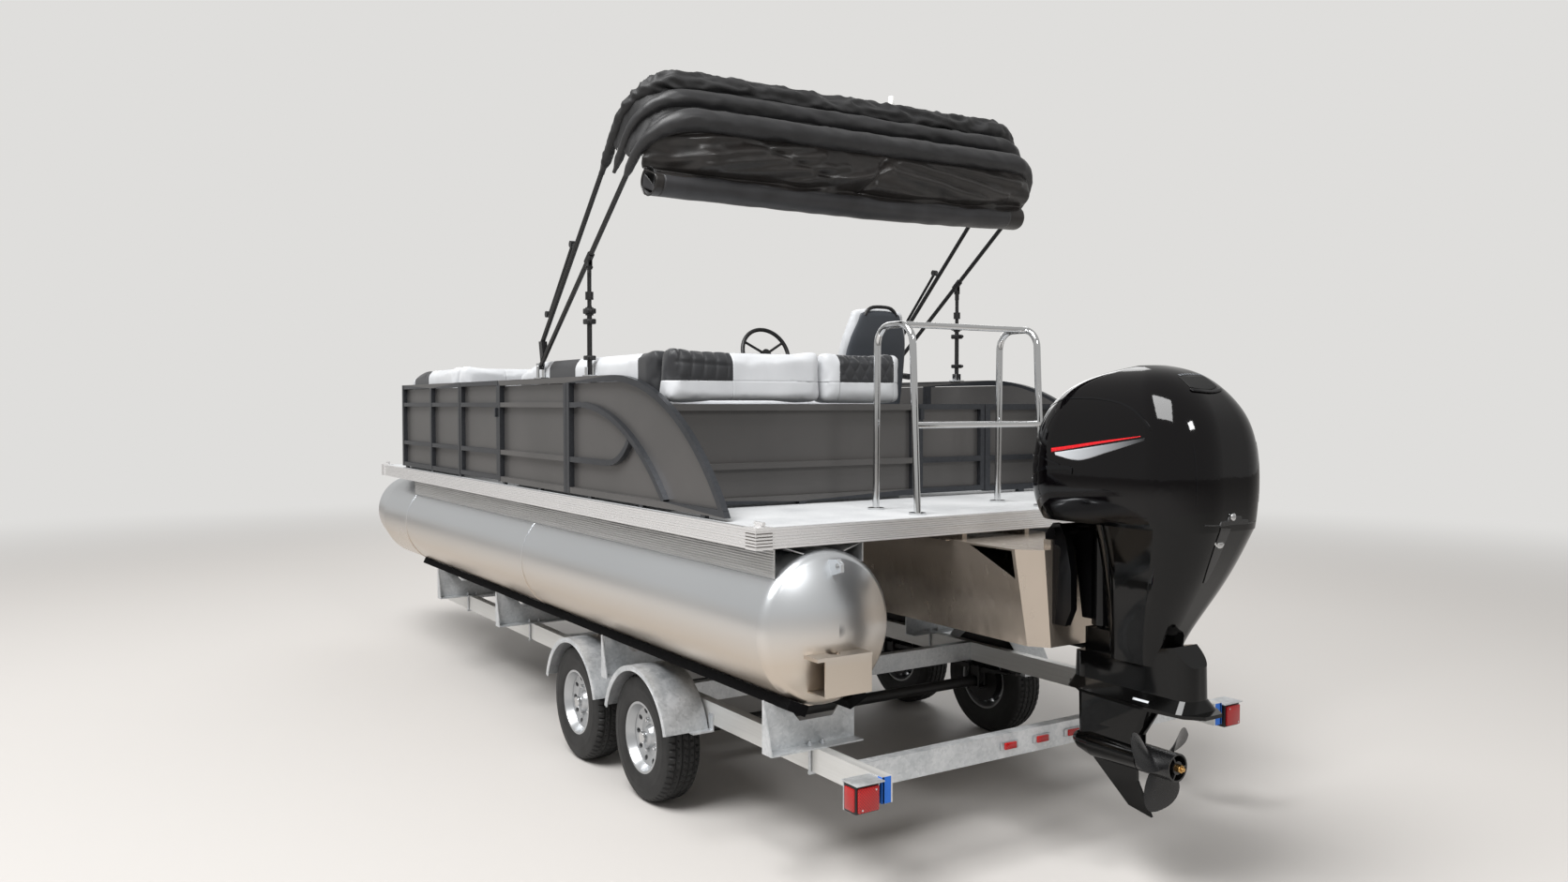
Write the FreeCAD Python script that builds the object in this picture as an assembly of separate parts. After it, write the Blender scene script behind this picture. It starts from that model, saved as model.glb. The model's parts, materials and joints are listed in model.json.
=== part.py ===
import FreeCAD, Part
import math
import os

# Pontoon boat with a folded sun top and an outboard engine, standing on its tandem-axle trailer.
# Millimetres. +X points to the bow, +Y to port, +Z up, and the ground is z = 0.
# Along X the sizes below are measured from the deck's stern face. Each piece is moved at the end,
# so that the origin lies on the ground under the middle of the whole outline.

# Hull
deckLength = 5774
halfBeam = 1295
deckTop = 1442
rubHeight = 83
rubThick = 25
deckThick = 28
capSize = 80
capProud = 4
tubeRadius = 317.5
tubeY = 965
tubeZ = 1025
tubeAft = 24
noseShy = 24
dishRadius = 620
knuckleRadius = 60
eyeThick = 16
boxHalf = 113
boxDeep = 187
boxTall = 146
keelHalf = 38
keelDrop = 12
channelHeight = 58
channelPitch = 406
skirtOuter = 1206
riserInner = 767
plateThick = 6
skirtAft = 10
skirtShy = 654
ribPitch = 11
ribRise = 3
grooveCount = 6
groovePitch = 12
grooveTall = 3
grooveDeep = 1.6
eyeHoleRadius = 12.5

# Fence: rails stand outside the sheet, heights are the rails' lower edges
fenceOuter = 1260
railDepth = 28
sheetThick = 6
postWide = 36
railTall = 31
fenceShy = 516
railThin = 28
postInner = 8
fenceFoot = deckTop + 15
topRail = 2041
upperRail = 1910
lowerRail = 1622
sweepX = 1420
sweepRadius = 1330
innerSweepX = 1850
curlX = 1470
curlRadius = 312
rearFence = 850
rearTop = 1898
gateGap = 6

# Gates: hinge place, width between posts
sideGateAft = 3070
sideGateFore = 3830
bowGateHalf = 350
sternGatePort = -215
sternGateStarboard = -685
hingeInset = 9
knuckle = 5
hingePin = 2.5
leafTall = 26
leafLevels = (1560, 1800)

# Seats and helm
seatBaseTop = 1830
seatTop = 1930
backTop = 2190
seatInset = 24
helmX = 2950
helmY = -560
chairX = 2120
chairY = -700
chairPost = 36
chairSeat = 1800
chairTop = 2530
consoleLong = 560
consoleTop = 2290
wheelRise = 2262
handwheelRadius = 180
benchFace = 1500
benchStarboard = -130
wingFace = 660
loungeFace = 580
toeDeep = 60
toeTall = 95
backThick = 150

# Stern rail
archY = 380
archFore = 430
archAft = 130
archTop = 2285
archRadius = 16

# Sun top, folded back and held on two braces
topRailTop = topRail + railTall
hingeX = 2404
hingeZ = 2140
bowRadius = 13
mainFootX = 2373
mainFootZ = 2275
mainBarX = 1165
mainBarZ = 3470
rearBarX = 1000
rearBarZ = 3235
bowInset = 19
bowBend = 230
braceX = 1717
braceDrop = 45
braceTop = 11
mountPlate = 6
pinRadius = 5
jawHalf = 7
bootRadius = 44
lightY = -280

# Outboard engine
tiltX = -475
tiltZ = 1411
steerX = -585
steerPin = 18
transomX = -460
transomHalf = 200
podTop = 1334
podHalf = 280
podFootHalf = 204
podFoot = 926
podShoulder = -370
podBoxFore = 1500
podNose = 2300
podRailFore = 2250
podLip = 20
mastTop = 1374
cowlX = -775
cowlLength = 860
cowlWidth = 530
panFoot = 1468
seamFront = 1566
seamLow = 1490
seamAft = 1552
coverWall = 12
plateZ = 770
plateAft = -1124
housingFore = -482
propZ = 540
gearcaseAft = -800
torpedoRadius = 58
propRadius = 188
propPitch = 430
shaftRadius = 12
hubRadius = 55
propLength = 160

# Trailer
railOuter = 1000
railWidth = 50
railLow = 430
railHigh = 532
frameAft = -421
frameShy = 774
rearBeamX = -250
crossPlaces = (1250, 2700, 3900)
poleHalf = 38
leaderReach = 1560
couplerTip = 7400
couplerLong = 200
ballRadius = 26
headRadius = 42
axlePlaces = (1230, 2029)
wheelRadius = 311
tyreWidth = 185
tyreFacets = 60
wheelY = 1112
rimRadius = 176
spindleRadius = 20
spindleEnd = 1120
axleRadius = 30
drumRadius = 118
drumInner = 1016
drumOuter = 1074
springWide = 32
springHalf = 330
springCurve = 5200
leafThick = 6.5
springTop = 398
fit = 0.3
shaftFit = 0.1
fenderRadius = 352
fenderOuter = 1235
bunkAngle = 25.4
bunkThick = 44
bunkWide = 94
bunkAft = -20
bunkOverhang = 80
bracketPlaces = (66, 1630, 3250, 4500)
jackBack = 400
jackTop = 960
jackRadius = 28
winchReach = 1150
winchTop = 1230
lampLow = 412
lampTall = 107
lampWide = 109
lampLong = 75

channelLow = deckTop - deckThick - channelHeight
noseStart = deckLength - noseShy
skirtFore = deckLength - skirtShy
fenceFore = deckLength - fenceShy
frameFore = deckLength - frameShy
bunkFore = frameFore + bunkOverhang
winchX = frameFore + winchReach
jackX = couplerTip - jackBack
poleEnd = couplerTip - couplerLong
bowY = fenceOuter - bowInset
eyeX = tubeAft - 118
eyeZ = tubeZ + 258
originX = (couplerTip + cowlX - cowlLength / 2) / 2


def vec(x, y, z):
    return FreeCAD.Vector(x, y, z)


def block(x, y, z):
    """A box from its (low, high) pair along each axis."""
    return Part.makeBox(x[1] - x[0], y[1] - y[0], z[1] - z[0], vec(x[0], y[0], z[0]))


def rod(start, end, radius):
    a = vec(*start)
    b = vec(*end)
    return Part.makeCylinder(radius, (b - a).Length, a, b - a)


def tube(start, end, radius, bore):
    return rod(start, end, radius).cut(rod(start, end, bore))


def joined(shapes):
    whole = shapes[0]
    if len(shapes) > 1:
        whole = shapes[0].multiFuse(shapes[1:])
    return whole.removeSplitter()


def group(shapes):
    return Part.makeCompound(shapes)


def flipped(shape):
    """The same piece on the starboard side."""
    return shape.mirror(vec(0, 0, 0), vec(0, 1, 0))


def bothSides(shape):
    return [shape, flipped(shape)]


def prismX(points, low, high):
    """An outline of (y, z) points, carried along X."""
    wire = Part.makePolygon([vec(low, y, z) for y, z in points + points[:1]])
    return Part.Face(wire).extrude(vec(high - low, 0, 0))


def prismY(points, low, high):
    """An outline of (x, z) points, carried along Y."""
    wire = Part.makePolygon([vec(x, low, z) for x, z in points + points[:1]])
    return Part.Face(wire).extrude(vec(0, high - low, 0))


def prismZ(points, low, high):
    """An outline of (x, y) points, carried along Z."""
    wire = Part.makePolygon([vec(x, y, low) for x, y in points + points[:1]])
    return Part.Face(wire).extrude(vec(0, 0, high - low))


def arcBand(centre, outer, inner, start, end, y):
    """A curved rail in an XZ plane: radii, angles in degrees, (low, high) along Y."""
    def point(radius, angle):
        a = math.radians(angle)
        return vec(centre[0] + radius * math.cos(a), y[0], centre[1] + radius * math.sin(a))
    middle = (start + end) / 2
    edges = [
        Part.Arc(point(outer, start), point(outer, middle), point(outer, end)).toShape(),
        Part.makeLine(point(outer, end), point(inner, end)),
        Part.Arc(point(inner, end), point(inner, middle), point(inner, start)).toShape(),
        Part.makeLine(point(inner, start), point(outer, start)),
    ]
    return Part.Face(Part.Wire(edges)).extrude(vec(0, y[1] - y[0], 0))


def bentRod(points, radius, bend):
    """A round bar along straight runs joined by tangent arcs of one radius."""
    corners = [vec(*p) for p in points]
    edges = []
    start = corners[0]
    for before, corner, after in zip(corners, corners[1:], corners[2:]):
        inward = (before - corner).normalize()
        outward = (after - corner).normalize()
        half = inward.getAngle(outward) / 2
        reach = bend / math.tan(half)
        enter = corner + inward * reach
        leave = corner + outward * reach
        bisector = (inward + outward).normalize()
        crown = corner + bisector * (bend / math.sin(half) - bend)
        edges.append(Part.makeLine(start, enter))
        edges.append(Part.Arc(enter, crown, leave).toShape())
        start = leave
    edges.append(Part.makeLine(start, corners[-1]))
    circle = Part.Wire(Part.makeCircle(radius, corners[0], corners[1] - corners[0]))
    return Part.Wire(edges).makePipeShell([circle], True, False)


def roundedLoop(x, width, radius, z):
    """A level rectangle with rounded corners: (low, high) along X, full width along Y."""
    y = width / 2
    spots = [(x[0], -y, 180), (x[1], -y, 270), (x[1], y, 0), (x[0], y, 90)]
    edges = []
    arcs = []
    for cornerX, cornerY, angle in spots:
        centre = vec(cornerX + radius * (1 if cornerX == x[0] else -1), cornerY - math.copysign(radius, cornerY), z)
        ends = []
        for turn in (0, 45, 90):
            a = math.radians(angle + turn)
            ends.append(centre + vec(radius * math.cos(a), radius * math.sin(a), 0))
        arcs.append(ends)
    for index, ends in enumerate(arcs):
        edges.append(Part.Arc(*ends).toShape())
        edges.append(Part.makeLine(ends[2], arcs[(index + 1) % 4][0]))
    return Part.Wire(edges)


def stacked(rows, ruled=False):
    """A body through level sections: aft x, fore x, width, corner radius, z."""
    loops = [roundedLoop((aft, fore), width, radius, z) for aft, fore, width, radius, z in rows]
    return Part.makeLoft(loops, True, ruled)


# ---- Hull -------------------------------------------------------------------------------------------------------

def floatTube():
    """One float: dished aft head with a knuckle, straight barrel, upswept nose, keel strip."""
    dishX = tubeAft + math.sqrt((dishRadius - knuckleRadius) ** 2 - (tubeRadius - knuckleRadius) ** 2)
    spread = math.atan2(tubeRadius - knuckleRadius, dishX - tubeAft)
    meet = (dishX - dishRadius * math.cos(spread), dishRadius * math.sin(spread))
    inside = (dishX - dishRadius * math.cos(spread / 2), dishRadius * math.sin(spread / 2))
    turn = math.radians(45) + spread / 2
    crown = (tubeAft - knuckleRadius * math.cos(turn), tubeRadius - knuckleRadius + knuckleRadius * math.sin(turn))

    def at(x, r):
        return vec(x, tubeY, tubeZ + r)
    edges = [
        Part.Arc(at(dishX - dishRadius, 0), at(*inside), at(*meet)).toShape(),
        Part.Arc(at(*meet), at(*crown), at(tubeAft, tubeRadius)).toShape(),
        Part.makeLine(at(tubeAft, tubeRadius), at(noseStart, tubeRadius)),
        Part.makeLine(at(noseStart, tubeRadius), at(noseStart, 0)),
        Part.makeLine(at(noseStart, 0), at(dishX - dishRadius, 0)),
    ]
    barrel = Part.Face(Part.Wire(edges)).revolve(at(0, 0), vec(1, 0, 0), 360)
    # nose sections: distance past the barrel, radius, rise of the centre
    nose = [(0, tubeRadius, 0), (370, 272, 22), (650, 168, 62), (850, 26, 110)]
    loops = [Part.Wire(Part.makeCircle(r, vec(noseStart + past, tubeY, tubeZ + rise), vec(1, 0, 0)))
             for past, r, rise in nose]
    cone = Part.makeLoft(loops, True, True)
    floor = tubeZ - tubeRadius
    keel = block((tubeAft + 40, noseStart - 20), (tubeY - keelHalf, tubeY + keelHalf), (floor - keelDrop, floor + 8))
    return joined([barrel, cone, keel])


def tubeEye():
    """Tie-down lug welded to the aft head near its top, with its shackle hole."""
    outline = [(eyeX - 24, eyeZ - 21), (eyeX - 24, eyeZ + 11), (eyeX + 2, eyeZ + 29),
               (eyeX + 64, eyeZ + 21), (eyeX + 46, eyeZ - 43)]
    plate = prismY(outline, tubeY - eyeThick / 2, tubeY + eyeThick / 2)
    hole = rod((eyeX, tubeY - eyeThick, eyeZ), (eyeX, tubeY + eyeThick, eyeZ), eyeHoleRadius)
    return plate.cut(hole).cut(floatTube())


def tubeBox():
    """Folded plate box low on the aft head: open on its port side, with a holed ledge on top."""
    y = (tubeY - boxHalf, tubeY + boxHalf)
    aft = tubeAft - boxDeep
    low = tubeZ - 243
    high = low + boxTall
    ledge = 14
    pieces = [
        block((aft, aft + plateThick), y, (low, high)),
        block((aft, 0), y, (low, low + plateThick)),
        block((aft, 0), (y[0], y[0] + plateThick), (low, high)),
        block((aft - 4, 0), (y[0], y[1] + 40), (high, high + ledge)),
    ]
    ledgeHole = rod((aft + 60, tubeY + 30, high - 1), (aft + 60, tubeY + 30, high + ledge + 1), 26)
    return joined(pieces).cut(ledgeHole).cut(floatTube())


def motorPod():
    """Plate pod between the tubes that carries the engine, open through a triangle on each side."""
    # x, half width at the top, half width at the bottom, bottom z
    rows = [
        (transomX, transomHalf, podFootHalf - 44, podFoot + 4),
        (podShoulder, podHalf, podFootHalf, podFoot),
        (podBoxFore, podHalf, podFootHalf, podFoot),
        (podNose, podHalf - 50, podFootHalf - 144, podFoot + 304),
    ]
    beyond = podHalf + podLip + 10

    def loft(inset):
        loops = []
        for x, upper, lower, floor in rows:
            shift = inset if x == transomX else 0
            corners = [(-upper + inset, podTop - inset), (upper - inset, podTop - inset),
                       (lower - inset, floor + inset), (inset - lower, floor + inset)]
            loops.append(Part.makePolygon([vec(x + shift, y, z) for y, z in corners + corners[:1]]))
        return Part.makeLoft(loops, True, True)
    inner = loft(plateThick).common(block((transomX + plateThick, podBoxFore), (-beyond, beyond), (podFoot, podTop)))
    ceiling = podTop - 8
    window = prismY([(transomX + 365, ceiling), (transomX + 108, ceiling), (transomX + 108, podTop - 129)], -beyond, beyond)
    shell = loft(0).cut(inner).cut(window)
    # rolled lips along the top edges, and a keel strip under the floor
    lips = bothSides(block((skirtAft + 24, podBoxFore), (podHalf - plateThick, podHalf + podLip), (podTop - 4, podTop)))
    strip = block((podShoulder + 60, podBoxFore - 100), (-plateThick, plateThick), (podFoot - 22, podFoot + 2))
    # plate that carries the clamp bracket, up to the height of the tilt tube
    mast = block((transomX, transomX + 40), (-165, 165), (podTop, mastTop))
    rails = [block((skirtAft + 24, podRailFore), (y - 13, y + 13), (podTop, channelLow)) for y in (-190, 190)]
    return joined([shell, mast, strip] + lips + rails)


def deckBoard():
    return block((rubThick + capProud, deckLength - rubThick - capProud),
                 (-halfBeam + rubThick + capProud, halfBeam - rubThick - capProud),
                 (deckTop - deckThick, deckTop))


def deckFrame():
    """Cross channels under the deck board, one after another along the boat."""
    reach = halfBeam - capSize / 2
    start = skirtAft + 24
    count = int((deckLength - 80 - start) / channelPitch) + 1
    solids = []
    for index in range(count):
        x = start + index * channelPitch
        web = block((x, x + 40), (-reach, reach), (channelLow, deckTop - deckThick))
        # both flanges turn forward, so the channel is open along its front
        solids.append(web.cut(block((x + 4, x + 41), (-reach - 1, reach + 1), (channelLow + 4, deckTop - deckThick - 4))))
    return group(solids)


def sideSkirts():
    """Sheets along each tube up to the channels: ribbed skirt outboard, riser inboard, slanted struts on top."""
    foot = tubeZ + math.sqrt(tubeRadius ** 2 - (skirtOuter - plateThick - tubeY) ** 2) + 1
    count = int((channelLow - foot) / ribPitch)
    outline = [(skirtOuter - plateThick, channelLow), (skirtOuter - plateThick, foot), (skirtOuter, foot)]
    for index in range(count):
        outline.append((skirtOuter + ribRise, foot + (index + 0.35) * ribPitch))
        outline.append((skirtOuter, foot + (index + 0.9) * ribPitch))
    outline.append((skirtOuter, channelLow))
    solids = [prismX(outline, skirtAft, skirtFore)]
    riserFoot = tubeZ + math.sqrt(tubeRadius ** 2 - (tubeY - riserInner - plateThick) ** 2) + 1
    solids.append(block((skirtAft, skirtFore), (riserInner, riserInner + plateThick), (riserFoot, channelLow)))
    strutFoot = tubeZ + tubeRadius - 12.5
    for side in (-1, 1):
        strut = [(tubeY + side * 186, channelLow), (tubeY + side * 180, channelLow),
                 (tubeY + side * 96, strutFoot), (tubeY + side * 104, strutFoot - 3)]
        solids.append(prismX(strut, skirtAft, skirtFore))
    return group([each for solid in solids for each in bothSides(solid)])


def levelGrooves(x, y, deep):
    """Cutters for level grooves that run all round outer faces at the two x and at y on both sides."""
    cutters = []
    for index in range(grooveCount):
        middle = deckTop - rubHeight + groovePitch * (index + 1)
        z = (middle - grooveTall / 2, middle + grooveTall / 2)
        around = block((x[0] - 1, x[1] + 1), (-y - 1, y + 1), z)
        cutters.append(around.cut(block((x[0] + deep, x[1] - deep), (deep - y, y - deep), z)))
    return group(cutters)


def rubRail(grooved=True):
    """Grooved extrusion all round the deck's edge."""
    x = (capProud, deckLength - capProud)
    y = halfBeam - capProud
    z = (deckTop - rubHeight, deckTop)
    outer = block(x, (-y, y), z)
    hole = block((x[0] + rubThick, x[1] - rubThick), (rubThick - y, y - rubThick), (z[0] - 1, z[1] + 1))
    rail = outer.cut(hole)
    if grooved:
        rail = rail.cut(levelGrooves(x, y, grooveDeep))
    return rail


def cornerCaps():
    """Ribbed square caps over the rub rail's corners, each with a cleat on top."""
    rail = rubRail(False)
    board = deckBoard()
    grooves = levelGrooves((0, deckLength), halfBeam, grooveDeep)
    hollow = block((10, deckLength - 10), (0, halfBeam - 30), (deckTop - rubHeight - 60, deckTop - 20))
    caps = []
    for x in ((0, capSize), (deckLength - capSize, deckLength)):
        cap = block(x, (halfBeam - capSize, halfBeam), (deckTop - rubHeight - 2, deckTop + 4))
        cap = cap.cut(rail).cut(board).cut(hollow).cut(grooves)
        middle = (x[0] + x[1]) / 2
        y = halfBeam - capSize / 2 - 2
        cleat = [
            block((middle - 24, middle + 24), (y - 8, y + 8), (deckTop + 3, deckTop + 14)),
            rod((middle - 34, y, deckTop + 18), (middle + 34, y, deckTop + 18), 7),
        ]
        caps += bothSides(joined([cap.Solids[0]] + cleat))
    return group(caps)


# ---- Fence and gates --------------------------------------------------------------------------------------------

def railRow(along, low, tall, side=fenceOuter):
    return block(along, (side - railDepth, side), (low, low + tall))


def sidePost(x, top=topRail):
    return block((x, x + postWide), (fenceOuter - railDepth - postInner, fenceOuter + 2), (fenceFoot, top))


sweepPosts = (1948, 1988)
middlePost = 3432
forePost = 4480


def sidePosts(gateOpen):
    """Posts forward of the curved wing: one more stands where the other side has its gate."""
    if gateOpen:
        return [sideGateAft - postWide, sideGateFore]
    return [sideGateAft - postWide, middlePost, sideGateFore]


def sideFrame(gateOpen):
    """Fence rails and posts of one side, drawn to port; the aft end sweeps down to the deck."""
    aftEnd = sideGateAft if gateOpen else fenceFore
    half = railThin / 2
    y = (fenceOuter - railDepth, fenceOuter)
    foot = 180 - math.degrees(math.asin((fenceFoot + sweepRadius - topRailTop) / sweepRadius))
    innerZ = upperRail + railTall - half - sweepRadius
    innerFoot = 180 - math.degrees(math.asin((fenceFoot + railTall - innerZ) / (sweepRadius - half)))
    curlEnd = 180 + math.degrees(math.asin((curlRadius - 115) / curlRadius))
    curlZ = lowerRail + half + 1 + curlRadius
    footX = sweepX - math.sqrt((sweepRadius - railTall) ** 2 - (fenceFoot + sweepRadius - topRailTop) ** 2)
    sweeps = [
        arcBand((sweepX, topRailTop - sweepRadius), sweepRadius, sweepRadius - railTall, 90, foot, y),
        arcBand((innerSweepX, innerZ), sweepRadius + half, sweepRadius - half, 90, innerFoot + 0.6, y),
    ]
    below = block((0, sweepX), y, (deckTop - rubHeight, fenceFoot))
    aft = [sweep.cut(below) for sweep in sweeps]
    aft += [
        arcBand((curlX, curlZ), curlRadius + half, curlRadius - half, curlEnd, 270, y),
        railRow((sweepX, aftEnd), topRail, railTall),
        railRow((innerSweepX, aftEnd), upperRail, railThin),
        railRow((curlX, aftEnd), lowerRail, railThin),
        railRow((footX - 20, aftEnd), fenceFoot, railTall),
    ]
    places = sidePosts(gateOpen)
    aft += [sidePost(x) for x in sweepPosts]
    aft += [sidePost(x) for x in places if x < aftEnd]
    bowPosts = [sidePost(forePost), sidePost(fenceFore - postWide, topRailTop)]
    if not gateOpen:
        return [joined(aft + bowPosts)]
    along = (sideGateFore, fenceFore)
    fore = [railRow(along, low, tall) for low, tall in
            ((topRail, railTall), (upperRail, railThin), (lowerRail, railThin), (fenceFoot, railTall))]
    fore += [sidePost(x) for x in places if x >= sideGateFore]
    return [joined(aft), joined(fore + bowPosts)]


def hingeLeaf(reach, heights, offset):
    """Hinge leaves on the hinge line: reach is +1 on the gate, bored, and -1 on the post, with the pin."""
    pieces = []
    for z in heights:
        low = z + offset
        high = low + leafTall
        barrel = rod((0, 0, low), (0, 0, high), knuckle)
        x = (2, 30) if reach > 0 else (-30, -2)
        inner = 4 if reach > 0 else 3
        leaf = block(x, (inner - 1, hingeInset), (low, high))
        arm = block((min(0, x[0]), max(0, x[1])), (0, knuckle), (low, high))
        if reach > 0:
            bore = rod((0, 0, low - 1), (0, 0, high + 1), hingePin + shaftFit)
            pieces.append(joined([barrel, arm, leaf]).cut(bore))
        else:
            pieces.append(joined([barrel, arm, leaf, rod((0, 0, z), (0, 0, high), hingePin)]))
    return pieces


def gateLeaf(width, top):
    """A gate drawn from its hinge line at the origin along +X, its outer face towards +Y."""
    span = (gateGap / 2, width - gateGap * 1.5)
    sheet = (hingeInset, hingeInset + sheetThick)
    frame = (hingeInset + sheetThick, hingeInset + sheetThick + railDepth)
    low = fenceFoot + 6
    pieces = [block(span, sheet, (low, top - 2))]
    pieces.append(block((span[0], span[0] + railThin), frame, (low, top)))
    pieces.append(block((span[1] - railThin, span[1]), frame, (low, top)))
    levels = [low, lowerRail, top - railThin]
    if top > upperRail + 2 * railThin:
        levels.append(upperRail)
    pieces += [block(span, frame, (z, z + railThin)) for z in levels]
    pieces.append(block((span[1] - 24, span[1] - 4), (frame[1], frame[1] + 14), (upperRail - 60, upperRail - 4)))
    pieces += hingeLeaf(1, leafLevels, 0)
    return joined(pieces)


def placed(shape, spot, turn):
    copy = shape.copy()
    copy.rotate(vec(0, 0, 0), vec(0, 0, 1), turn)
    copy.translate(vec(*spot, 0))
    return copy


hingeLine = fenceOuter - railDepth - sheetThick - hingeInset
sideHinge = (sideGateFore - gateGap / 2, hingeLine)
bowHinge = (fenceFore - railDepth - sheetThick - hingeInset, bowGateHalf - gateGap / 2)
sternHinge = (rearFence + railDepth + sheetThick + hingeInset, sternGateStarboard + gateGap / 2)


def sideGate():
    width = sideGateFore - sideGateAft
    leaf = gateLeaf(width, topRailTop).mirror(vec(0, 0, 0), vec(1, 0, 0))
    return placed(leaf, sideHinge, 0)


def bowGate():
    return placed(gateLeaf(2 * bowGateHalf, topRailTop), bowHinge, -90)


def sternGate():
    return placed(gateLeaf(sternGatePort - sternGateStarboard, rearTop + railTall), sternHinge, 90)


def fencePads(places):
    """Small pads under the bottom rail that carry a side fence off the deck."""
    return [block((x - 20, x + 20), (fenceOuter - 26, fenceOuter - 6), (deckTop, fenceFoot)) for x in places]


aftPads = (500, 1100, 1700, 2400, 3000)
forePads = (sideGateFore + 20, 4500, fenceFore - 78)
postLeafRise = leafTall + 0.6


def fencePort():
    leaves = [placed(leaf.mirror(vec(0, 0, 0), vec(1, 0, 0)), sideHinge, 0)
              for leaf in hingeLeaf(-1, leafLevels, postLeafRise)]
    aft, fore = sideFrame(True)
    return group([joined([aft] + fencePads(aftPads)), joined([fore] + leaves + fencePads(forePads))])


def fenceStarboard():
    return flipped(joined(sideFrame(False) + fencePads(aftPads + forePads)))


def crossFence(x, spans, levels, top):
    """Rails and end posts of a fence across the boat; spans are (low, high) along Y."""
    pieces = []
    for span in spans:
        parts = [block(x, span, (low, low + tall)) for low, tall in levels]
        for y in (span[0], span[1] - postWide):
            parts.append(block(x, (y, y + postWide), (fenceFoot, top)))
        middle = (span[0] + span[1]) / 2
        parts.append(block(x, (middle - 20, middle + 20), (deckTop, fenceFoot)))
        pieces.append(joined(parts))
    return pieces


def crossFences():
    """The fences across the bow and the stern."""
    return group(fenceBow().Solids + fenceStern().Solids)


def fenceBow():
    levels = ((topRail, railTall), (upperRail, railThin), (lowerRail, railThin), (fenceFoot, railTall))
    side = fenceOuter - railDepth - postInner
    spans = ((bowGateHalf, side), (-side, -bowGateHalf))
    port, starboard = crossFence((fenceFore - railDepth, fenceFore), spans, levels, topRailTop)
    leaves = [placed(leaf, bowHinge, -90) for leaf in hingeLeaf(-1, leafLevels, postLeafRise)]
    return group([joined([port] + leaves), starboard])


def fenceStern():
    levels = ((rearTop, railTall), (lowerRail, railThin), (fenceFoot, railTall))
    side = fenceOuter - railDepth - sheetThick
    spans = ((sternGatePort, side), (-side, sternGateStarboard))
    port, starboard = crossFence((rearFence, rearFence + railDepth), spans, levels, rearTop + railTall)
    leaves = [placed(leaf, sternHinge, 90) for leaf in hingeLeaf(-1, leafLevels, postLeafRise)]
    return group([port, joined([starboard] + leaves)])


def fencePanels():
    """The coloured sheets behind the fixed rails."""
    y = (fenceOuter - railDepth - sheetThick, fenceOuter - railDepth)
    z = (fenceFoot, topRail - 3)
    inside = sweepRadius - railTall + 12
    centreZ = topRailTop - sweepRadius
    foot = 180 - math.degrees(math.asin((fenceFoot - centreZ) / inside))
    drop = math.degrees(math.acos((z[1] - centreZ) / inside))

    def rim(angle):
        a = math.radians(angle)
        return vec(sweepX + inside * math.cos(a), y[0], centreZ + inside * math.sin(a))

    def wing(end):
        """Sheet from the curved aft rail to the given x."""
        first = rim(foot)
        last = rim(90 + drop)
        edges = [
            Part.Arc(first, rim((foot + 90 + drop) / 2), last).toShape(),
            Part.makeLine(last, vec(end, y[0], z[1])),
            Part.makeLine(vec(end, y[0], z[1]), vec(end, y[0], z[0])),
            Part.makeLine(vec(end, y[0], z[0]), first),
        ]
        return Part.Face(Part.Wire(edges)).extrude(vec(0, y[1] - y[0], 0))
    notch = group([sidePost(x) for x in sweepPosts + (sideGateAft - postWide, middlePost, sideGateFore, forePost)])
    portFore = block((sideGateFore + postWide, fenceFore - postWide), y, z).cut(sidePost(forePost))
    portAft = wing(sideGateAft - postWide).cut(group([sidePost(x) for x in sweepPosts]))
    starboard = wing(fenceFore - postWide).cut(notch)
    sheets = portAft.Solids + portFore.Solids + flipped(starboard).Solids
    side = fenceOuter - railDepth - postInner
    bowX = (fenceFore - railDepth - sheetThick, fenceFore - railDepth)
    rearX = (rearFence + railDepth, rearFence + railDepth + sheetThick)
    # place along X, span along Y, top
    for x, span, top in (
            (bowX, (bowGateHalf, side), topRail), (bowX, (-side, -bowGateHalf), topRail),
            (rearX, (sternGatePort, y[0]), rearTop), (rearX, (-y[0], sternGateStarboard), rearTop)):
        sheets.append(block(x, span, (fenceFoot, top)))
    return group(sheets)


# ---- Seats, helm and stern rail ---------------------------------------------------------------------------------

seatSide = fenceOuter - railDepth - postInner - seatInset / 2
benchAft = rearFence + railDepth + sheetThick + 16
benchFore = sideGateAft - 220
loungeAft = sideGateFore + 120
loungeFore = fenceFore - 78
# how far a cushion's side stands out from its back plane, height above the cushion's foot
backShape = [(0, 0), (backThick, 0), (backThick - 28, 215), (backThick - 62, 252), (24, 260), (0, 240)]


def baseShape(back, face):
    """Section of a seat base from its back plane to its face, with a toe recess: (depth, z) points."""
    recess = math.copysign(toeDeep, face - back)
    return [(back, deckTop), (face - recess, deckTop), (face - recess, deckTop + toeTall),
            (face, deckTop + toeTall + 25), (face, seatBaseTop), (back, seatBaseTop)]


def padShape(back, face):
    """Section of a seat pad with a rolled front edge that hangs a little over its base."""
    out = math.copysign(1, face - back)
    return [(back, seatBaseTop), (face, seatBaseTop), (face + 20 * out, seatBaseTop + 26),
            (face + 20 * out, seatTop - 34), (face, seatTop - 6), (face - 50 * out, seatTop), (back, seatTop)]


def seatBases():
    """Moulded boxes with toe recesses under the stern bench and the two bow lounges."""
    stern = prismY(baseShape(benchAft, benchFace), benchStarboard, seatSide)
    wing = prismX(baseShape(seatSide, wingFace), benchFace - toeDeep, benchFore)
    lounge = prismX(baseShape(seatSide, loungeFace), loungeAft, loungeFore)
    return group([joined([stern, wing])] + bothSides(lounge))


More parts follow.
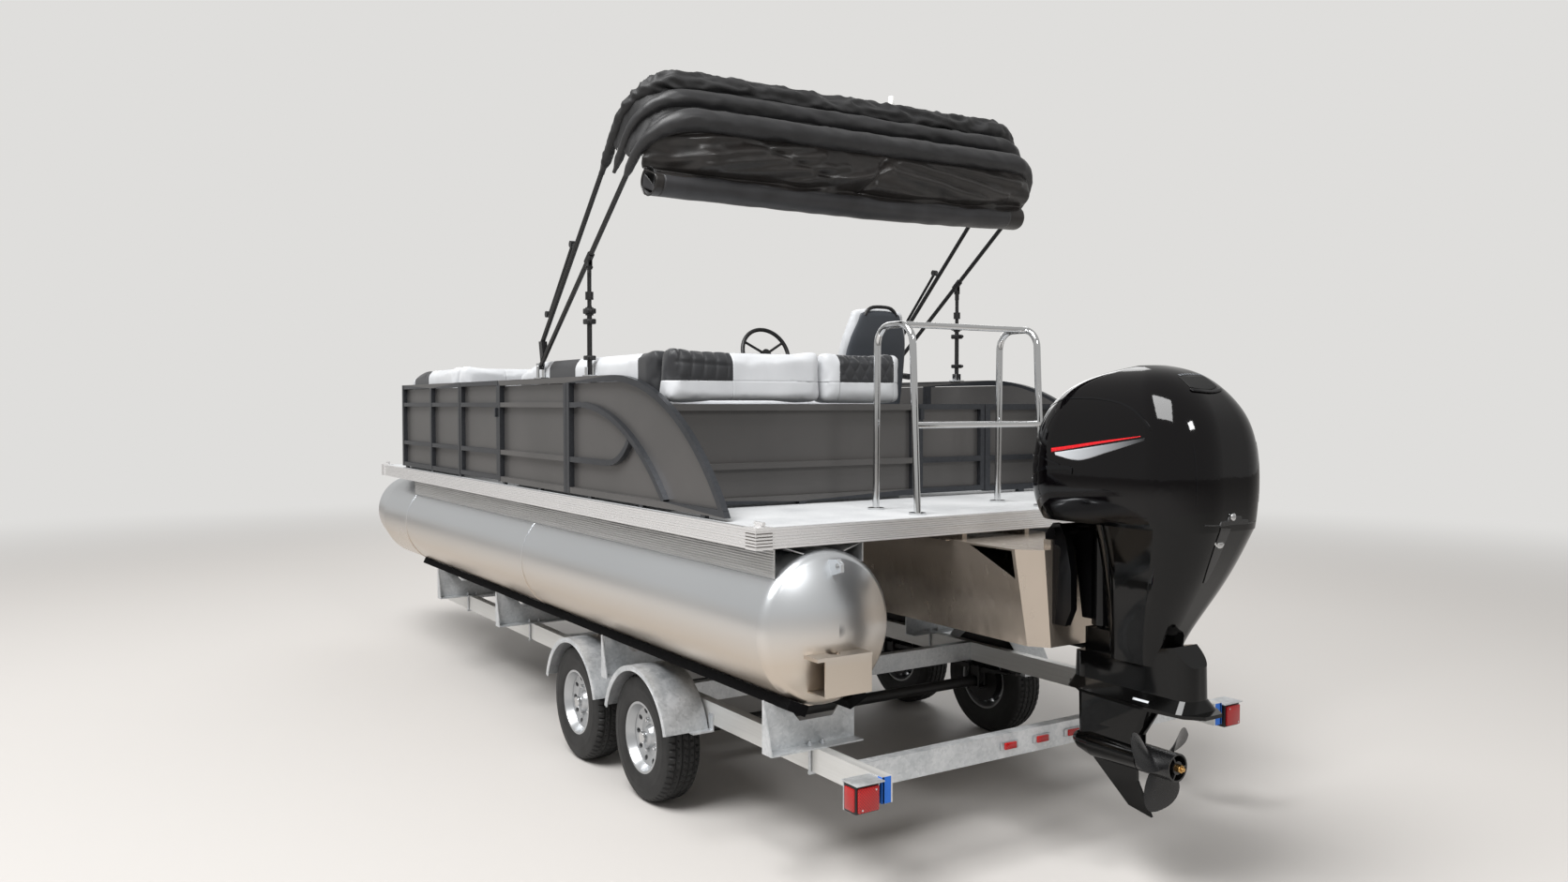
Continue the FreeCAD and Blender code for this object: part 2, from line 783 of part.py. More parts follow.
def benchCushions():
    """L-shaped bench: rolled seat pads and leaning backs along the stern and the port side."""
    alongStern = [(benchAft + out, seatTop + up) for out, up in backShape]
    alongSide = [(seatSide - out, seatTop + up) for out, up in backShape]
    return joined([
        prismY(padShape(benchAft, benchFace), benchStarboard - 20, seatSide),
        prismX(padShape(seatSide, wingFace), benchFace - 40, benchFore + 10),
        prismY(alongStern, benchStarboard - 20, seatSide),
        prismX(alongSide, benchAft, benchFore + 10),
    ])


def loungeCushions():
    """Two facing bow lounges, each with a back along the fence and one at its aft end."""
    alongSide = [(seatSide - out, seatTop + up) for out, up in backShape]
    atAft = [(loungeAft - 10 + out, seatTop + up) for out, up in backShape]
    lounge = joined([
        prismX(padShape(seatSide, loungeFace), loungeAft - 10, loungeFore + 10),
        prismX(alongSide, loungeAft - 10, loungeFore + 10),
        prismY(atAft, loungeFace - 20, seatSide),
    ])
    return group(bothSides(lounge))


def helmPedestal():
    """Floor plate, coned foot and post."""
    plate = rod((chairX, chairY, deckTop), (chairX, chairY, deckTop + 14), 150)
    cone = Part.makeCone(96, chairPost, 60, vec(chairX, chairY, deckTop + 14))
    post = rod((chairX, chairY, deckTop), (chairX, chairY, chairSeat - 10), chairPost)
    return joined([plate, cone, post])


def helmChair():
    """Bucket seat that turns on its post: bolstered cushion, tall tapered back and two bent arms."""
    x = chairX
    y = chairY
    # aft x, fore x, width, corner radius, z
    cushion = [(x - 250, x + 262, 520, 90, chairSeat), (x - 262, x + 285, 560, 110, chairSeat + 62),
               (x - 250, x + 270, 530, 100, chairSeat + 125)]
    rest = [(x - 262, x - 120, 470, 62, chairSeat + 90), (x - 284, x - 160, 520, 60, chairSeat + 380),
            (x - 318, x - 206, 500, 54, chairTop - 130), (x - 336, x - 250, 380, 42, chairTop)]
    parts = [stacked(rows) for rows in (cushion, rest)]
    for piece in parts:
        piece.translate(vec(0, y, 0))
    socket = tube((x, y, chairSeat - 60), (x, y, chairSeat + 4), chairPost + 16, chairPost + shaftFit)
    elbow = chairSeat + 320
    arms = []
    for reach in (-278, 278):
        path = [(x - 262, y + reach, elbow), (x + 130, y + reach, elbow), (x + 150, y + reach * 0.9, chairSeat + 60)]
        arms.append(bentRod(path, 20, 70))
    return joined(parts + [socket] + arms)


def helmConsole():
    """Console moulding: toe recess, raked knee panel, locker door and a sunk, sloping dash."""
    fore = helmX + consoleLong
    # x, z round the side of the moulding
    outline = [(helmX + 150, deckTop), (fore, deckTop), (fore, consoleTop - 180), (helmX + 420, consoleTop),
               (helmX + 300, consoleTop), (helmX + 262, consoleTop - 24), (helmX + 20, consoleTop - 150),
               (helmX, consoleTop - 176), (helmX, consoleTop - 420), (helmX + 80, deckTop + 130), (helmX + 150, deckTop + 110)]
    side = (helmY - 620, helmY + 260)
    body = prismY(outline, *side)
    dash = prismY([(helmX + 262, consoleTop + 6), (helmX + 20, consoleTop - 120),
                   (helmX + 26, consoleTop - 160), (helmX + 268, consoleTop - 34)], side[0] + 40, side[1] - 40)
    locker = block((helmX - 10, helmX + 12), (side[0] + 60, helmY - 240), (consoleTop - 400, consoleTop - 200))
    body = body.cut(dash).cut(locker)
    column = rod((helmX + 140, helmY, wheelRise - 62), (helmX - 38, helmY, wheelRise), 22)
    return joined([body, column])


def steeringWheel():
    """Ring, boss and three spokes, square to the sloping column."""
    axis = vec(-178, 0, 62).normalize()
    hub = vec(helmX - 38, helmY, wheelRise)
    ring = Part.makeTorus(handwheelRadius, 14, hub + axis * 20, axis)
    boss = Part.makeCylinder(34, 34, hub, axis)
    across = vec(0, 1, 0)
    up = axis.cross(across)
    spokes = []
    for angle in (90, 210, 330):
        a = math.radians(angle)
        way = across * math.cos(a) + up * math.sin(a)
        spokes.append(Part.makeCylinder(9, handwheelRadius - 4, hub + axis * 18, way))
    return joined([ring, boss] + spokes)


def sternRail():
    """Two polished arches on deck flanges, tied by a top bar and a middle bar."""
    arches = []
    for y in (-archY, archY):
        path = [(archFore, y, deckTop + 8), (archFore - 10, y, archTop), (archAft + 40, y, archTop), (archAft, y, deckTop + 8)]
        arches.append(bentRod(path, archRadius, 90))
        for x in (archFore, archAft):
            arches.append(rod((x, y, deckTop), (x, y, deckTop + 9), 38))
    bars = [
        rod((archAft + 110, -archY, archTop), (archAft + 110, archY, archTop), archRadius - 2),
        rod((archAft + 17, -archY, 1835), (archAft + 17, archY, 1835), archRadius - 2),
    ]
    return joined(arches + bars)


# ---- Sun top ----------------------------------------------------------------------------------------------------

def onLeg(foot, bar, x):
    """A point (x, z) on a bow's straight leg."""
    return (x, foot[1] + (bar[1] - foot[1]) * (x - foot[0]) / (bar[0] - foot[0]))


mainFoot = (mainFootX, mainFootZ)
mainBar = (mainBarX, mainBarZ)
rearFoot = (hingeX, hingeZ)
rearBar = (rearBarX, rearBarZ)
braceJoint = onLeg(rearFoot, rearBar, braceX)
bracePin = (braceJoint[0], braceJoint[1] - braceDrop)


def bow(start, bar, radius):
    """A bow from one leg point over the cross bar to the same point on the other leg."""
    path = [(start[0], -bowY, start[1]), (bar[0], -bowY, bar[1]), (bar[0], bowY, bar[1]), (start[0], bowY, start[1])]
    return bentRod(path, radius, bowBend)


def mainBow():
    """Fore bow, with the folded spreader strut clamped along each leg."""
    parts = [bow(mainFoot, mainBar, bowRadius)]
    low = onLeg(mainFoot, mainBar, mainFootX - 130)
    high = onLeg(mainFoot, mainBar, mainFootX - 480)
    rise = 40
    for y in (-bowY, bowY):
        parts.append(rod((low[0] + 30, y, low[1] + rise - 30), (high[0] + 30, y, high[1] + rise - 30 + 20), 9))
        for x, z in (low, high):
            parts.append(rod((x + 42, y - 14, z + 22), (x + 42, y + 14, z + 22), 18))
            parts.append(rod((x, y, z), (x + 42, y, z + 22), 11))
    return joined(parts)


def rearBow():
    """Aft bow, pinned at its foot: it carries the fore bow's foot and the braces' jaws."""
    parts = [bow(rearFoot, rearBar, bowRadius)]
    for y in (-bowY, bowY):
        parts.append(block((hingeX - 17, hingeX + 17), (y - 9, y + 9), (hingeZ - 17, hingeZ + 17)))
        bracket = [(mainFootX - 26, mainFootZ + 4), (mainFootX + 18, mainFootZ + 4),
                   onLeg(rearFoot, rearBar, mainFootX - 6), onLeg(rearFoot, rearBar, mainFootX - 46)]
        parts.append(prismY(bracket, y - 16, y + 16))
        x, z = braceJoint
        collar = rod((x - 24, y, z + 24 * 0.78), (x + 24, y, z - 24 * 0.78), bowRadius + 6)
        ears = [block((x - 13, x + 13), sorted((y + low, y + high)), (z - braceDrop - 13, z)) for low, high in
                ((-jawHalf - 5, -jawHalf), (jawHalf, jawHalf + 5))]
        parts += [collar] + ears
    whole = joined(parts)
    end = onLeg(mainFoot, mainBar, mainFootX - 60)
    for y in (-bowY, bowY):
        whole = whole.cut(rod((mainFootX, y, mainFootZ), (end[0], y, end[1]), bowRadius))
        whole = whole.cut(rod((hingeX, y - 20, hingeZ), (hingeX, y + 20, hingeZ), pinRadius + shaftFit))
        whole = whole.cut(rod((bracePin[0], y - 40, bracePin[1]), (bracePin[0], y + 40, bracePin[1]), pinRadius))
    return whole


def topMounts():
    """Base plates on the fence's top rail: a pinned fork each side and an open yoke each side."""
    pieces = []
    base = topRailTop + mountPlate
    plateY = (bowY - 22, fenceOuter + 2)
    plate = block((hingeX - 60, hingeX + 50), plateY, (topRailTop, base))
    ears = [block((hingeX - 18, hingeX + 18), (y - 2.5, y + 2.5), (base, hingeZ + 18)) for y in (bowY - 16.5, bowY + 16.5)]
    pin = rod((hingeX, bowY - 22, hingeZ), (hingeX, bowY + 22, hingeZ), pinRadius)
    pieces += bothSides(joined([plate, pin] + ears))
    plate = block((braceX - 45, braceX + 45), plateY, (topRailTop, base))
    ears = [block((braceX - 16, braceX + 16), (y - 1.5, y + 1.5), (base, base + 40)) for y in (bowY - 19.5, bowY + 19.5)]
    pieces += bothSides(joined([plate] + ears))
    return group(pieces)


def brace():
    """Telescoping brace: its tongue is pinned in the aft bow's jaw, its foot stands in the open yoke."""
    x, z = bracePin
    base = topRailTop + mountPlate + fit
    parts = [
        rod((x, bowY, base), (x, bowY, 2430), 13),
        rod((x, bowY, 2420), (x, bowY, z), braceTop),
        rod((x, bowY, base + 305), (x, bowY, base + 345), 21),
        rod((x, bowY, base + 385), (x, bowY, base + 425), 21),
    ]
    stem = joined(parts)
    tongue = block((x - 12, x + 12), (bowY - jawHalf + fit, bowY + jawHalf - fit), (z - 50, z))
    eye = rod((x, bowY - jawHalf + fit, z), (x, bowY + jawHalf - fit, z), 12)
    slot = block((x - 40, x + 40), (bowY - 40, bowY + 40), (z - 30, z + 40))
    pin = rod((x, bowY - jawHalf - 12, z), (x, bowY + jawHalf + 12, z), pinRadius - shaftFit)
    return joined([stem.cut(slot), tongue, eye, pin])


def canopy():
    """Folded cloth: rolled round both bows, with a slack sheet hanging from the fore roll."""
    rolls = [
        bow(onLeg(mainFoot, mainBar, 1560), mainBar, bootRadius),
        bow(onLeg(rearFoot, rearBar, 1290), rearBar, bootRadius - 8),
    ]
    web = prismY([(mainBarX + 20, mainBarZ), (mainBarX - 30, mainBarZ), (rearBarX - 20, rearBarZ),
                  (rearBarX + 60, rearBarZ - 20), (1100, 2910), (1125, 2905), (1125, 3080)], -1010, 1010)
    cloth = joined(rolls + [web])
    for foot, bar in ((mainFoot, mainBar), (rearFoot, rearBar)):
        cloth = cloth.cut(bow(foot, bar, bowRadius + shaftFit))
    return cloth.cut(lightClamp(3))


def lightClamp(grow=0):
    ring = rod((mainBarX, lightY - 14 - grow, mainBarZ), (mainBarX, lightY + 14 + grow, mainBarZ), 24 + grow)
    stem = rod((mainBarX, lightY, mainBarZ), (mainBarX, lightY, 3545 + grow * 10), 7 + grow)
    return joined([ring, stem]).cut(rod((mainBarX, lightY - 30, mainBarZ), (mainBarX, lightY + 30, mainBarZ), bowRadius))


def anchorLight():
    lens = rod((mainBarX, lightY, 3536), (mainBarX, lightY, 3592), 16)
    return joined([lightClamp(), lens])


# ---- Outboard engine --------------------------------------------------------------------------------------------

def transomClamp():
    """Two side plates bolted to the transom, with the tilt tube through their heads."""
    outline = [(transomX, 1030), (transomX, mastTop), (transomX + 42, mastTop), (transomX + 42, 1398), (tiltX + 14, 1444),
               (tiltX - 24, 1440), (-530, 1390), (-560, 1250), (-562, 1100), (-530, 1030)]
    plates = [prismY(outline, low, low + 34) for low in (-154, 120)]
    pivot = rod((tiltX, -172, tiltZ), (tiltX, 172, tiltZ), 16)
    return joined(plates + [pivot])


def swivelBracket():
    """Tilting part: barrel round the tilt tube, side web and the upright steering barrel."""
    barrel = rod((tiltX, -114, tiltZ), (tiltX, 114, tiltZ), 30)
    web = prismY([(tiltX - 5, 1432), (tiltX - 45, 1412), (steerX, 1412), (steerX, 1060), (tiltX - 62, 1060), (tiltX - 22, 1330),
                  (tiltX + 5, 1385)], -62, 62)
    upright = rod((steerX, 0, 1032), (steerX, 0, 1412), 40)
    whole = joined([barrel, web, upright])
    whole = whole.cut(rod((tiltX, -130, tiltZ), (tiltX, 130, tiltZ), 16 + shaftFit))
    return whole.cut(rod((steerX, 0, 1000), (steerX, 0, 1450), steerPin + shaftFit))


def midSection():
    """Steering pin with its two yokes, and the housing that flares out to the plate."""
    flare = stacked([
        (-1082, housingFore + 6, 220, 60, plateZ + 8),
        (-1070, housingFore, 146, 58, plateZ + 50),
        (-1066, housingFore - 4, 136, 56, 1020),
    ], True)
    outline = [(-1100, plateZ + 8), (-1100, 945), (-1061, 945), (-994, 1014), (-930, 1000), (-862, 945),
               (-510, 925), (housingFore + 20, 900), (housingFore + 20, plateZ + 8)]
    pin = rod((steerX, 0, 920), (steerX, 0, 1460), steerPin)
    yoke = block((-720, steerX + 30), (-50, 50), (1422, panFoot))
    lowerYoke = block((-720, steerX + 36), (-55, 55), (915, 1024))
    return joined([flare.common(prismY(outline, -150, 150)), pin, yoke, lowerYoke])


def engineShell(inset=0):
    """Outer form of pan and cover in one piece."""
    aft = cowlX - cowlLength / 2 + inset
    fore = cowlX + cowlLength / 2 - inset
    wide = cowlWidth - 2 * inset
    # pull-in from the aft end, from the fore end, and in width, corner radius, z
    rows = [
        (10, 54, 50, 160, panFoot - (inset > 0)),
        (2, 16, 12, 186, panFoot + 62),
        (0, 0, 0, 190, 1690),
        (45, 50, 60, 175, 1890 - inset / 2),
        (120, 140, 150, 150, 1985 - inset),
        (205, 280, 270, 110, 2045 - inset),
        (330, 430, 430, 42, 2078 - inset),
    ]
    return stacked([(aft + back, fore - front, wide - thin, radius - inset * 0.4, z) for back, front, thin, radius, z in rows])


def aboveSeam():
    """All that lies over the curved seam between pan and cover."""
    aft = cowlX - cowlLength / 2 - 20
    fore = cowlX + cowlLength / 2 + 20
    ends = (vec(fore, -400, seamFront), vec(aft, -400, seamAft))
    edges = [
        Part.Arc(ends[0], vec(cowlX + 100, -400, seamLow), ends[1]).toShape(),
        Part.makeLine(ends[1], vec(aft, -400, 2200)),
        Part.makeLine(vec(aft, -400, 2200), vec(fore, -400, 2200)),
        Part.makeLine(vec(fore, -400, 2200), ends[0]),
    ]
    return Part.Face(Part.Wire(edges)).extrude(vec(0, 800, 0))


def cowlLower():
    """Pan under the cover, and the trunk that tapers down behind the swivel bracket."""
    # aft x, fore x, width, corner radius, z
    trunk = stacked([
        (-925, -668, 160, 60, 924),
        (-962, -672, 210, 80, 1030),
        (-1066, -680, 330, 120, 1205),
        (-1150, -676, 420, 150, 1360),
        (cowlX - cowlLength / 2 + 11, -664, cowlWidth - 54, 160, panFoot),
    ])
    pan = engineShell().cut(aboveSeam())
    return joined([pan, trunk]).cut(midSection())


def cowlUpper():
    """Hollow cover that lifts off the pan."""
    return engineShell().cut(engineShell(coverWall)).common(aboveSeam())


def powerhead():
    """The engine's own mass, as one plain block on the pan."""
    return block((cowlX - 300, cowlX + 230), (-150, 150), (seamLow, 1900)).common(aboveSeam())


def gearcase():
    """Level plate, strut, bullet with its nose, and skeg."""
    plate = prismZ([(plateAft, -48), (plateAft + 60, -100), (-900, -122), (-560, -100), (-428, -16),
                    (-428, 16), (-560, 100), (-900, 122), (plateAft + 60, 100), (plateAft, 48)], plateZ - 6, plateZ + 8)
    strut = stacked([(gearcaseAft - 6, housingFore, 58, 27, propZ), (gearcaseAft - 6, housingFore, 64, 30, propZ + 90),
                     (gearcaseAft - 88, housingFore, 84, 38, plateZ - 6)], True)
    # bullet: x, radius
    profile = [(-448, 0), (-456, 24), (-486, 42), (-560, torpedoRadius), (gearcaseAft, torpedoRadius - 4)]
    points = [vec(x, 0, propZ + r) for x, r in profile] + [vec(gearcaseAft, 0, propZ)]
    bullet = Part.Face(Part.makePolygon(points + points[:1])).revolve(vec(0, 0, propZ), vec(1, 0, 0), 360)
    skeg = prismY([(-500, propZ - 20), (-736, 332), (-848, 314), (-777, 440), (-775, propZ - 20)], -6, 6)
    shaft = rod((gearcaseAft, 0, propZ), (gearcaseAft - propLength - 8, 0, propZ), shaftRadius)
    return joined([plate, strut, bullet, skeg, shaft])


def bladeSection(radius, chord, skew):
    """One lens-shaped section of a blade that stands out along +Y, set at its pitch angle."""
    pitch = math.atan(propPitch / (2 * math.pi * radius))
    along = vec(math.sin(pitch), 0, math.cos(pitch))
    across = vec(math.cos(pitch), 0, -math.sin(pitch))
    middle = vec(0, radius, 0) + along * skew
    lead = middle + along * (chord / 2)
    trail = middle - along * (chord / 2)
    thick = 5.5 - radius / 60
    faces = [Part.Arc(lead, middle + across * thick, trail).toShape(), Part.Arc(trail, middle - across * thick, lead).toShape()]
    return Part.Wire(faces)


def propeller():
    """Through-hub with an open exhaust ring and three twisted blades, bored for the shaft."""
    start = gearcaseAft - 6
    end = start - propLength
    hub = rod((start, 0, propZ), (end, 0, propZ), hubRadius)
    ring = tube((end - 1, 0, propZ), (end + 110, 0, propZ), hubRadius - 7, 26)
    ribs = [block((end, end + 110), (22, hubRadius - 5), (propZ - 3, propZ + 3)) for _ in range(3)]
    for index, rib in enumerate(ribs):
        rib.rotate(vec(0, 0, propZ), vec(1, 0, 0), 60 + 120 * index)
    # blade sections: radius, chord, skew
    table = [(42, 96, 0), (90, 132, 4), (135, 138, 12), (170, 104, 24), (propRadius, 30, 40)]
    blades = []
    for turn in (23, 143, 263):
        blade = Part.makeLoft([bladeSection(*row) for row in table], True)
        blade.rotate(vec(0, 0, 0), vec(1, 0, 0), turn)
        blade.translate(vec(start - 84, 0, propZ))
        blades.append(blade)
    bore = rod((start + 5, 0, propZ), (end - 5, 0, propZ), shaftRadius + shaftFit)
    core = rod((start, 0, propZ), (end, 0, propZ), hubRadius - 8)
    outer = [blade.cut(core) for blade in blades]
    return joined([hub.cut(ring)] + ribs + outer).cut(bore)


# ---- Trailer ----------------------------------------------------------------------------------------------------

def trailerRails():
    rail = block((frameAft, frameFore), (railOuter - railWidth, railOuter), (railLow, railHigh))
    return group(bothSides(rail))


def crossMembers():
    inner = railOuter - railWidth
    places = (rearBeamX,) + crossPlaces + (frameFore - railWidth,)
    return group([block((x, x + railWidth), (-inner, inner), (railLow, railHigh)) for x in places])


def trailerTongue():
    """Centre pole and the two members that lead the side rails in to it."""
    pole = block((frameFore, poleEnd), (-poleHalf, poleHalf), (railLow, railHigh))
    leader = prismZ([(frameFore, railOuter), (frameFore, railOuter - 56), (frameFore + leaderReach, poleHalf),
                     (frameFore + leaderReach + 100, poleHalf)], railLow, railHigh)
    return joined([pole] + bothSides(leader))


def coupler():
    """Ball coupler: a folded neck that flares into a hollow head, with its latch lever and safety pin."""
    headX = couplerTip - headRadius
    top = railHigh - 12
    neck = prismZ([(poleEnd, poleHalf - 2), (poleEnd + 60, poleHalf - 2), (headX, headRadius - 2), (headX, 2 - headRadius),
                   (poleEnd + 60, 2 - poleHalf), (poleEnd, 2 - poleHalf)], railLow + 30, top)
    head = rod((headX, 0, railLow + 20), (headX, 0, top), headRadius)
    dome = Part.makeCone(headRadius, headRadius - 16, 10, vec(headX, 0, top))
    ball = Part.makeSphere(ballRadius, vec(headX, 0, railLow + 34))
    mouth = rod((headX, 0, railLow), (headX, 0, railLow + 34), ballRadius)
    lever = prismY([(poleEnd + 24, top - 2), (poleEnd + 24, top + 20), (poleEnd + 120, top + 30),
                    (poleEnd + 140, top + 22), (poleEnd + 110, top - 2)], -10, 10)
    pin = rod((poleEnd + 40, -headRadius, top + 8), (poleEnd + 40, headRadius, top + 8), 4)
    return joined([neck, head, dome, lever, pin]).cut(ball).cut(mouth)


jackY = poleHalf + 20 + jackRadius
jackWall = 4


def jackTube():
    """Outer tube of the tongue jack, its bracket and its crank."""
    handleZ = jackTop + 42
    arm = jackX - 146
    shell = tube((jackX, jackY, 330), (jackX, jackY, jackTop), jackRadius, jackRadius - jackWall)
    lid = rod((jackX, jackY, jackTop - 30), (jackX, jackY, jackTop), jackRadius)
    bracket = block((jackX - 45, jackX + 45), (poleHalf, poleHalf + 24), (railLow, railHigh))
    collar = tube((jackX, jackY, railLow + 20), (jackX, jackY, railHigh - 20), jackRadius + 6, jackRadius - 1)
    crank = bentRod([(jackX, jackY, jackTop - 15), (jackX, jackY, handleZ), (arm, jackY, handleZ), (arm, jackY + 90, handleZ)], 8, 16)
    grip = rod((arm, jackY + 40, handleZ), (arm, jackY + 100, handleZ), 13)
    return joined([shell, lid, bracket, collar, crank, grip])


def jackLeg():
    """Inner tube with its dished foot plate."""
    leg = rod((jackX, jackY, 8), (jackX, jackY, 640), jackRadius - jackWall - fit)
    foot = rod((jackX, jackY, 0), (jackX, jackY, 8), 90)
    collar = Part.makeCone(62, 34, 22, vec(jackX, jackY, 8))
    return joined([leg, foot, collar])


def winchPost():
    """Upright with its back brace, bow stop, winch drum on two cheeks, and handle."""
    fore = winchX + 60
    drumX = winchX + 100
    drumZ = winchTop - 90
    post = block((winchX, fore), (-30, 30), (railHigh, winchTop))
    brace = prismY([(fore, drumZ - 100), (fore, drumZ - 160), (winchX + 410, railHigh), (winchX + 480, railHigh)], -20, 20)
    stop = prismZ([(winchX, -90), (winchX - 40, -110), (winchX - 60, -110), (winchX - 60, 110), (winchX - 40, 110), (winchX, 90)],
                  winchTop - 50, winchTop + 30)
    drum = rod((drumX, -62, drumZ), (drumX, 62, drumZ), 30)
    flanges = [rod((drumX, y, drumZ), (drumX, y + 6, drumZ), 50) for y in (-50, 44)]
    frame = block((fore, fore + 6), (-64, 64), (drumZ - 70, drumZ + 70))
    cheek = prismY([(fore, drumZ - 60), (drumX + 50, drumZ - 30), (drumX + 50, drumZ + 30), (fore, drumZ + 60)], 58, 64)
    handle = bentRod([(drumX, 60, drumZ), (drumX, 112, drumZ), (drumX - 30, 112, drumZ + 190), (drumX - 30, 180, drumZ + 190)], 8, 16)
    return joined([post, brace, stop, frame, drum, handle] + flanges + bothSides(cheek))


def axles():
    """Two beam axles with drums and spindles, each clamped by U-bolts to a leaf pack under either rail."""
    solids = []
    middle = railOuter - railWidth / 2
    arcTop = springTop + springCurve
    saddle = wheelRadius - axleRadius
    for x in axlePlaces:
        parts = [rod((x, -spindleEnd, wheelRadius), (x, spindleEnd, wheelRadius), spindleRadius),
                 rod((x, -drumInner - 2, wheelRadius), (x, drumInner + 2, wheelRadius), axleRadius)]
        drum = rod((x, drumInner, wheelRadius), (x, drumOuter, wheelRadius), drumRadius)
        lip = rod((x, drumInner, wheelRadius), (x, drumInner + 10, wheelRadius), drumRadius + 8)
        parts += bothSides(joined([drum, lip]))
        inner, outer = middle - springWide / 2, middle + springWide / 2
        spring = [block((x - 45, x + 45), (inner, outer), (wheelRadius, springTop - 4 * leafThick + 2))]
        for index, half in enumerate((springHalf, 250, 180, 110)):
            spread = math.degrees(half / springCurve)
            low = springCurve + index * leafThick
            spring.append(arcBand((x, arcTop), low + leafThick, low, 270 - spread, 270 + spread, (inner, outer)))
        eyeRise = springTop + springHalf ** 2 / (2 * springCurve) + 2
        for end in (x - springHalf, x + springHalf):
            spring.append(rod((end, inner, eyeRise), (end, outer, eyeRise), 13))
            hanger = [(end - 34, railLow), (end + 34, railLow), (end + 12, eyeRise), (end - 12, eyeRise)]
            spring += [prismY(hanger, inner - 6, inner), prismY(hanger, outer, outer + 6)]
            spring.append(rod((end, inner - 8, eyeRise), (end, outer + 8, eyeRise), 7))
        # clamp plate under the beam and the four legs that pull it up
        spring.append(block((x - 58, x + 58), (inner - 16, outer + 16), (saddle - 10, saddle + 3)))
        for bolt in (x - 42, x + 42):
            legs = (inner - 7, outer + 7)
            spring += [rod((bolt, y, saddle - 22), (bolt, y, springTop + 12), 6) for y in legs]
            spring.append(block((bolt - 6, bolt + 6), (legs[0] - 6, legs[1] + 6), (springTop, springTop + 12)))
        solids.append(joined(parts + bothSides(joined(spring))))
    return group(solids)


def fenders():
    """Four single fenders with a turned-down lip and a rolled bead, on feet fixed to the rails."""
    solids = []
    low, high = 15, 165
    y = (railOuter + 12, fenderOuter)
    for x in axlePlaces:
        centre = (x, wheelRadius)
        parts = [
            arcBand(centre, fenderRadius, fenderRadius - 4, low, high, y),
            arcBand(centre, fenderRadius, fenderRadius - 22, low, high, (fenderOuter - 5, fenderOuter)),
        ]
        a = math.radians(low)
        radius = fenderRadius - 22
        start = vec(x + radius * math.cos(a), fenderOuter - 4, wheelRadius + radius * math.sin(a))
        bead = Part.Face(Part.Wire(Part.makeCircle(6, start, vec(-math.sin(a), 0, math.cos(a)))))
        parts.append(bead.revolve(vec(x, fenderOuter - 4, wheelRadius), vec(0, -1, 0), high - low))
        footZ = wheelRadius + fenderRadius * math.sin(a)
        reach = fenderRadius * math.cos(a)
        for side in (-1, 1):
            ends = sorted((x + side * (reach - 8), x + side * (reach + 34)))
            parts.append(block(ends, (railOuter, y[1] - 125), (footZ - 4, footZ + 4)))
            parts.append(block(ends, (railOuter, railOuter + plateThick), (footZ - 4, railLow + 50)))
        solids += bothSides(joined(parts))
    return group(solids)


def facetRing(profile, x, y):
    """A closed ring of flat facets round a wheel's axle, light enough for four tyres."""
    turns = [2 * math.pi * index / tyreFacets for index in range(tyreFacets)]
    rows = [[vec(x + r * math.sin(a), y + w, wheelRadius - r * math.cos(a)) for w, r in profile] for a in turns]
    faces = []
    for row, after in zip(rows, rows[1:] + rows[:1]):
        for index in range(len(profile)):
            nearby = index - 1
            corners = [row[nearby], row[index], after[index], after[nearby]]
            faces.append(Part.Face(Part.makePolygon(corners + corners[:1])))
    return Part.Solid(Part.Shell(faces))


def wheelParts(x, side):
    """A tyre and its pressed rim, drawn to port and turned round for starboard."""
    y = wheelY
    half = tyreWidth / 2

    def ring(points):
        wire = Part.makePolygon([vec(x, y + w, wheelRadius + r) for w, r in points + points[:1]])
        return Part.Face(wire).revolve(vec(x, y, wheelRadius), vec(0, 1, 0), 360)
    seat = (rimRadius - 8) / math.cos(math.pi / tyreFacets)
    # across the tyre, radius
    profile = [(-78, seat), (-half, 210), (-half, 268), (-74, 300), (-50, wheelRadius), (50, wheelRadius),
               (74, 300), (half, 268), (half, 210), (78, seat)]
    tyre = facetRing(profile, x, y)
    rim = ring([(-84, rimRadius), (-84, rimRadius - 14), (-50, rimRadius - 34), (46, rimRadius - 34),
                (84, rimRadius - 14), (84, rimRadius), (78, rimRadius - 8), (-78, rimRadius - 8)])
    cap = spindleEnd + 6 - wheelY
    disc = ring([(18, spindleRadius + shaftFit), (18, 100), (34, 146), (44, 146), (30, 96), (30, 58), (52, 44), (62, 30),
                 (66, 0), (cap, 0), (cap, spindleRadius + shaftFit), (-30, spindleRadius + shaftFit), (-30, 34), (10, 34)])
    holes = []
    for index in range(10):
        a = math.radians(36 * index)
        spot = (x + 121 * math.cos(a), wheelRadius + 121 * math.sin(a))
        holes.append(rod((spot[0], y, spot[1]), (spot[0], y + 60, spot[1]), 13))
    wheel = joined([rim, disc])
    for hole in holes:
        wheel = wheel.cut(hole)
    if side < 0:
        return flipped(tyre), flipped(wheel)
    return tyre, wheel


def bunks():
    """Four carpeted runners that cradle the tubes."""
    solids = []
    for side in (-1, 1):
        board = block((bunkAft, bunkFore), (tubeY - bunkWide / 2, tubeY + bunkWide / 2),
                      (tubeZ - tubeRadius - fit - bunkThick, tubeZ - tubeRadius - fit))
        board.rotate(vec(0, tubeY, tubeZ), vec(1, 0, 0), side * bunkAngle)
        solids += bothSides(board)
    return group(solids)


